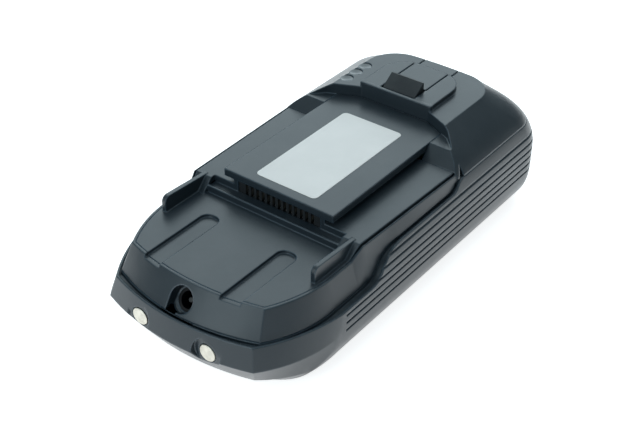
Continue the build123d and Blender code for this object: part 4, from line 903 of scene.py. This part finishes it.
class PACK_OT_inside(bpy.types.Operator):
    """Finish the cells, the boards, the wires and the screws inside the pack"""
    bl_idname = "pack.inside"
    bl_label = "Inner parts"

    def execute(self, context):
        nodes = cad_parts
        cells = [name for name in nodes if name.removeprefix("cell_").isdigit()]
        wrap = soft_finish("Cell wrap", (0.05, 0.22, 0.42), roughness=0.3, grain_size=1.2,
                           grain_height=0.02 * MM, drift=0.25)
        nickel = plain_metal("Nickel strip", (0.62, 0.60, 0.55), roughness=0.3)
        film = soft_finish("Insulation sheet", (0.28, 0.42, 0.36), roughness=0.6, grain_size=0.5,
                           grain_height=0.02 * MM, drift=0.3)
        foam = soft_finish("Foam", (0.03, 0.03, 0.032), roughness=0.9, grain_size=0.9,
                           grain_height=0.25 * MM, drift=0.4, specular=0.2)
        component = soft_finish("Component body", (0.02, 0.02, 0.021), roughness=0.42, grain_size=0.4,
                                grain_height=0.01 * MM, drift=0.3)
        black = soft_finish("Black insulation", (0.014, 0.014, 0.015), roughness=0.45, grain_size=0.8,
                            grain_height=0.02 * MM, drift=0.25)
        red = soft_finish("Red insulation", (0.36, 0.02, 0.02), roughness=0.45, grain_size=0.8,
                          grain_height=0.02 * MM, drift=0.2)
        zinc = plain_metal("Zinc screw", (0.50, 0.50, 0.49), roughness=0.36)
        for material, names in (
                (wrap, cells),
                (inner_plastic(), ("cell_holder_left", "cell_holder_right")),
                (nickel, ("nickel_strips_left", "nickel_strips_right")),
                (film, ("insulation_sheet_left", "insulation_sheet_right")),
                (foam, ("foam_pads",)),
                (board_lacquer("Board lacquer"), ("control_board", "indicator_board")),
                (component, ("board_components", "thermistor")),
                (black, ("power_lead_negative", "dock_leads", "jack_leads", "indicator_leads")),
                (red, ("power_lead_positive",)),
                (zinc, ("casing_screws", "board_screws"))):
            for name in names:
                give(nodes[name], material)
        return {"FINISHED"}


class PACK_PT_parts(bpy.types.Panel):
    """Sizes, colours and lights, and buttons for the stage and each group of pieces"""
    bl_idname = "PACK_PT_parts"
    bl_label = "Battery pack"
    bl_space_type = "VIEW_3D"
    bl_region_type = "UI"
    bl_category = "Battery pack"

    def draw(self, context):
        column = self.layout.column()
        for group in (context.scene.pack_shape, context.scene.pack_colours, context.scene.pack_light):
            for name in group.__annotations__:
                column.prop(group, name)
        for operator in OPERATORS:
            column.operator(operator.bl_idname)


OPERATORS = (PACK_OT_stage, PACK_OT_housing, PACK_OT_latch, PACK_OT_connector, PACK_OT_contacts,
             PACK_OT_label, PACK_OT_lamps, PACK_OT_inside)
CLASSES = (PackShape, PackColours, StudioLight, *OPERATORS, PACK_PT_parts)


def register():
    for kind in CLASSES:
        bpy.utils.register_class(kind)
    bpy.types.Scene.pack_shape = PointerProperty(type=PackShape)
    bpy.types.Scene.pack_colours = PointerProperty(type=PackColours)
    bpy.types.Scene.pack_light = PointerProperty(type=StudioLight)


def unregister():
    del bpy.types.Scene.pack_light
    del bpy.types.Scene.pack_colours
    del bpy.types.Scene.pack_shape
    for kind in reversed(CLASSES):
        bpy.utils.unregister_class(kind)


def main():
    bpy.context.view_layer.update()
    register()
    bpy.ops.pack.stage()
    bpy.ops.pack.housing()
    bpy.ops.pack.latch()
    bpy.ops.pack.connector()
    bpy.ops.pack.contacts()
    bpy.ops.pack.label()
    bpy.ops.pack.lamps()
    bpy.ops.pack.inside()


if __name__ == "__main__":
    main()
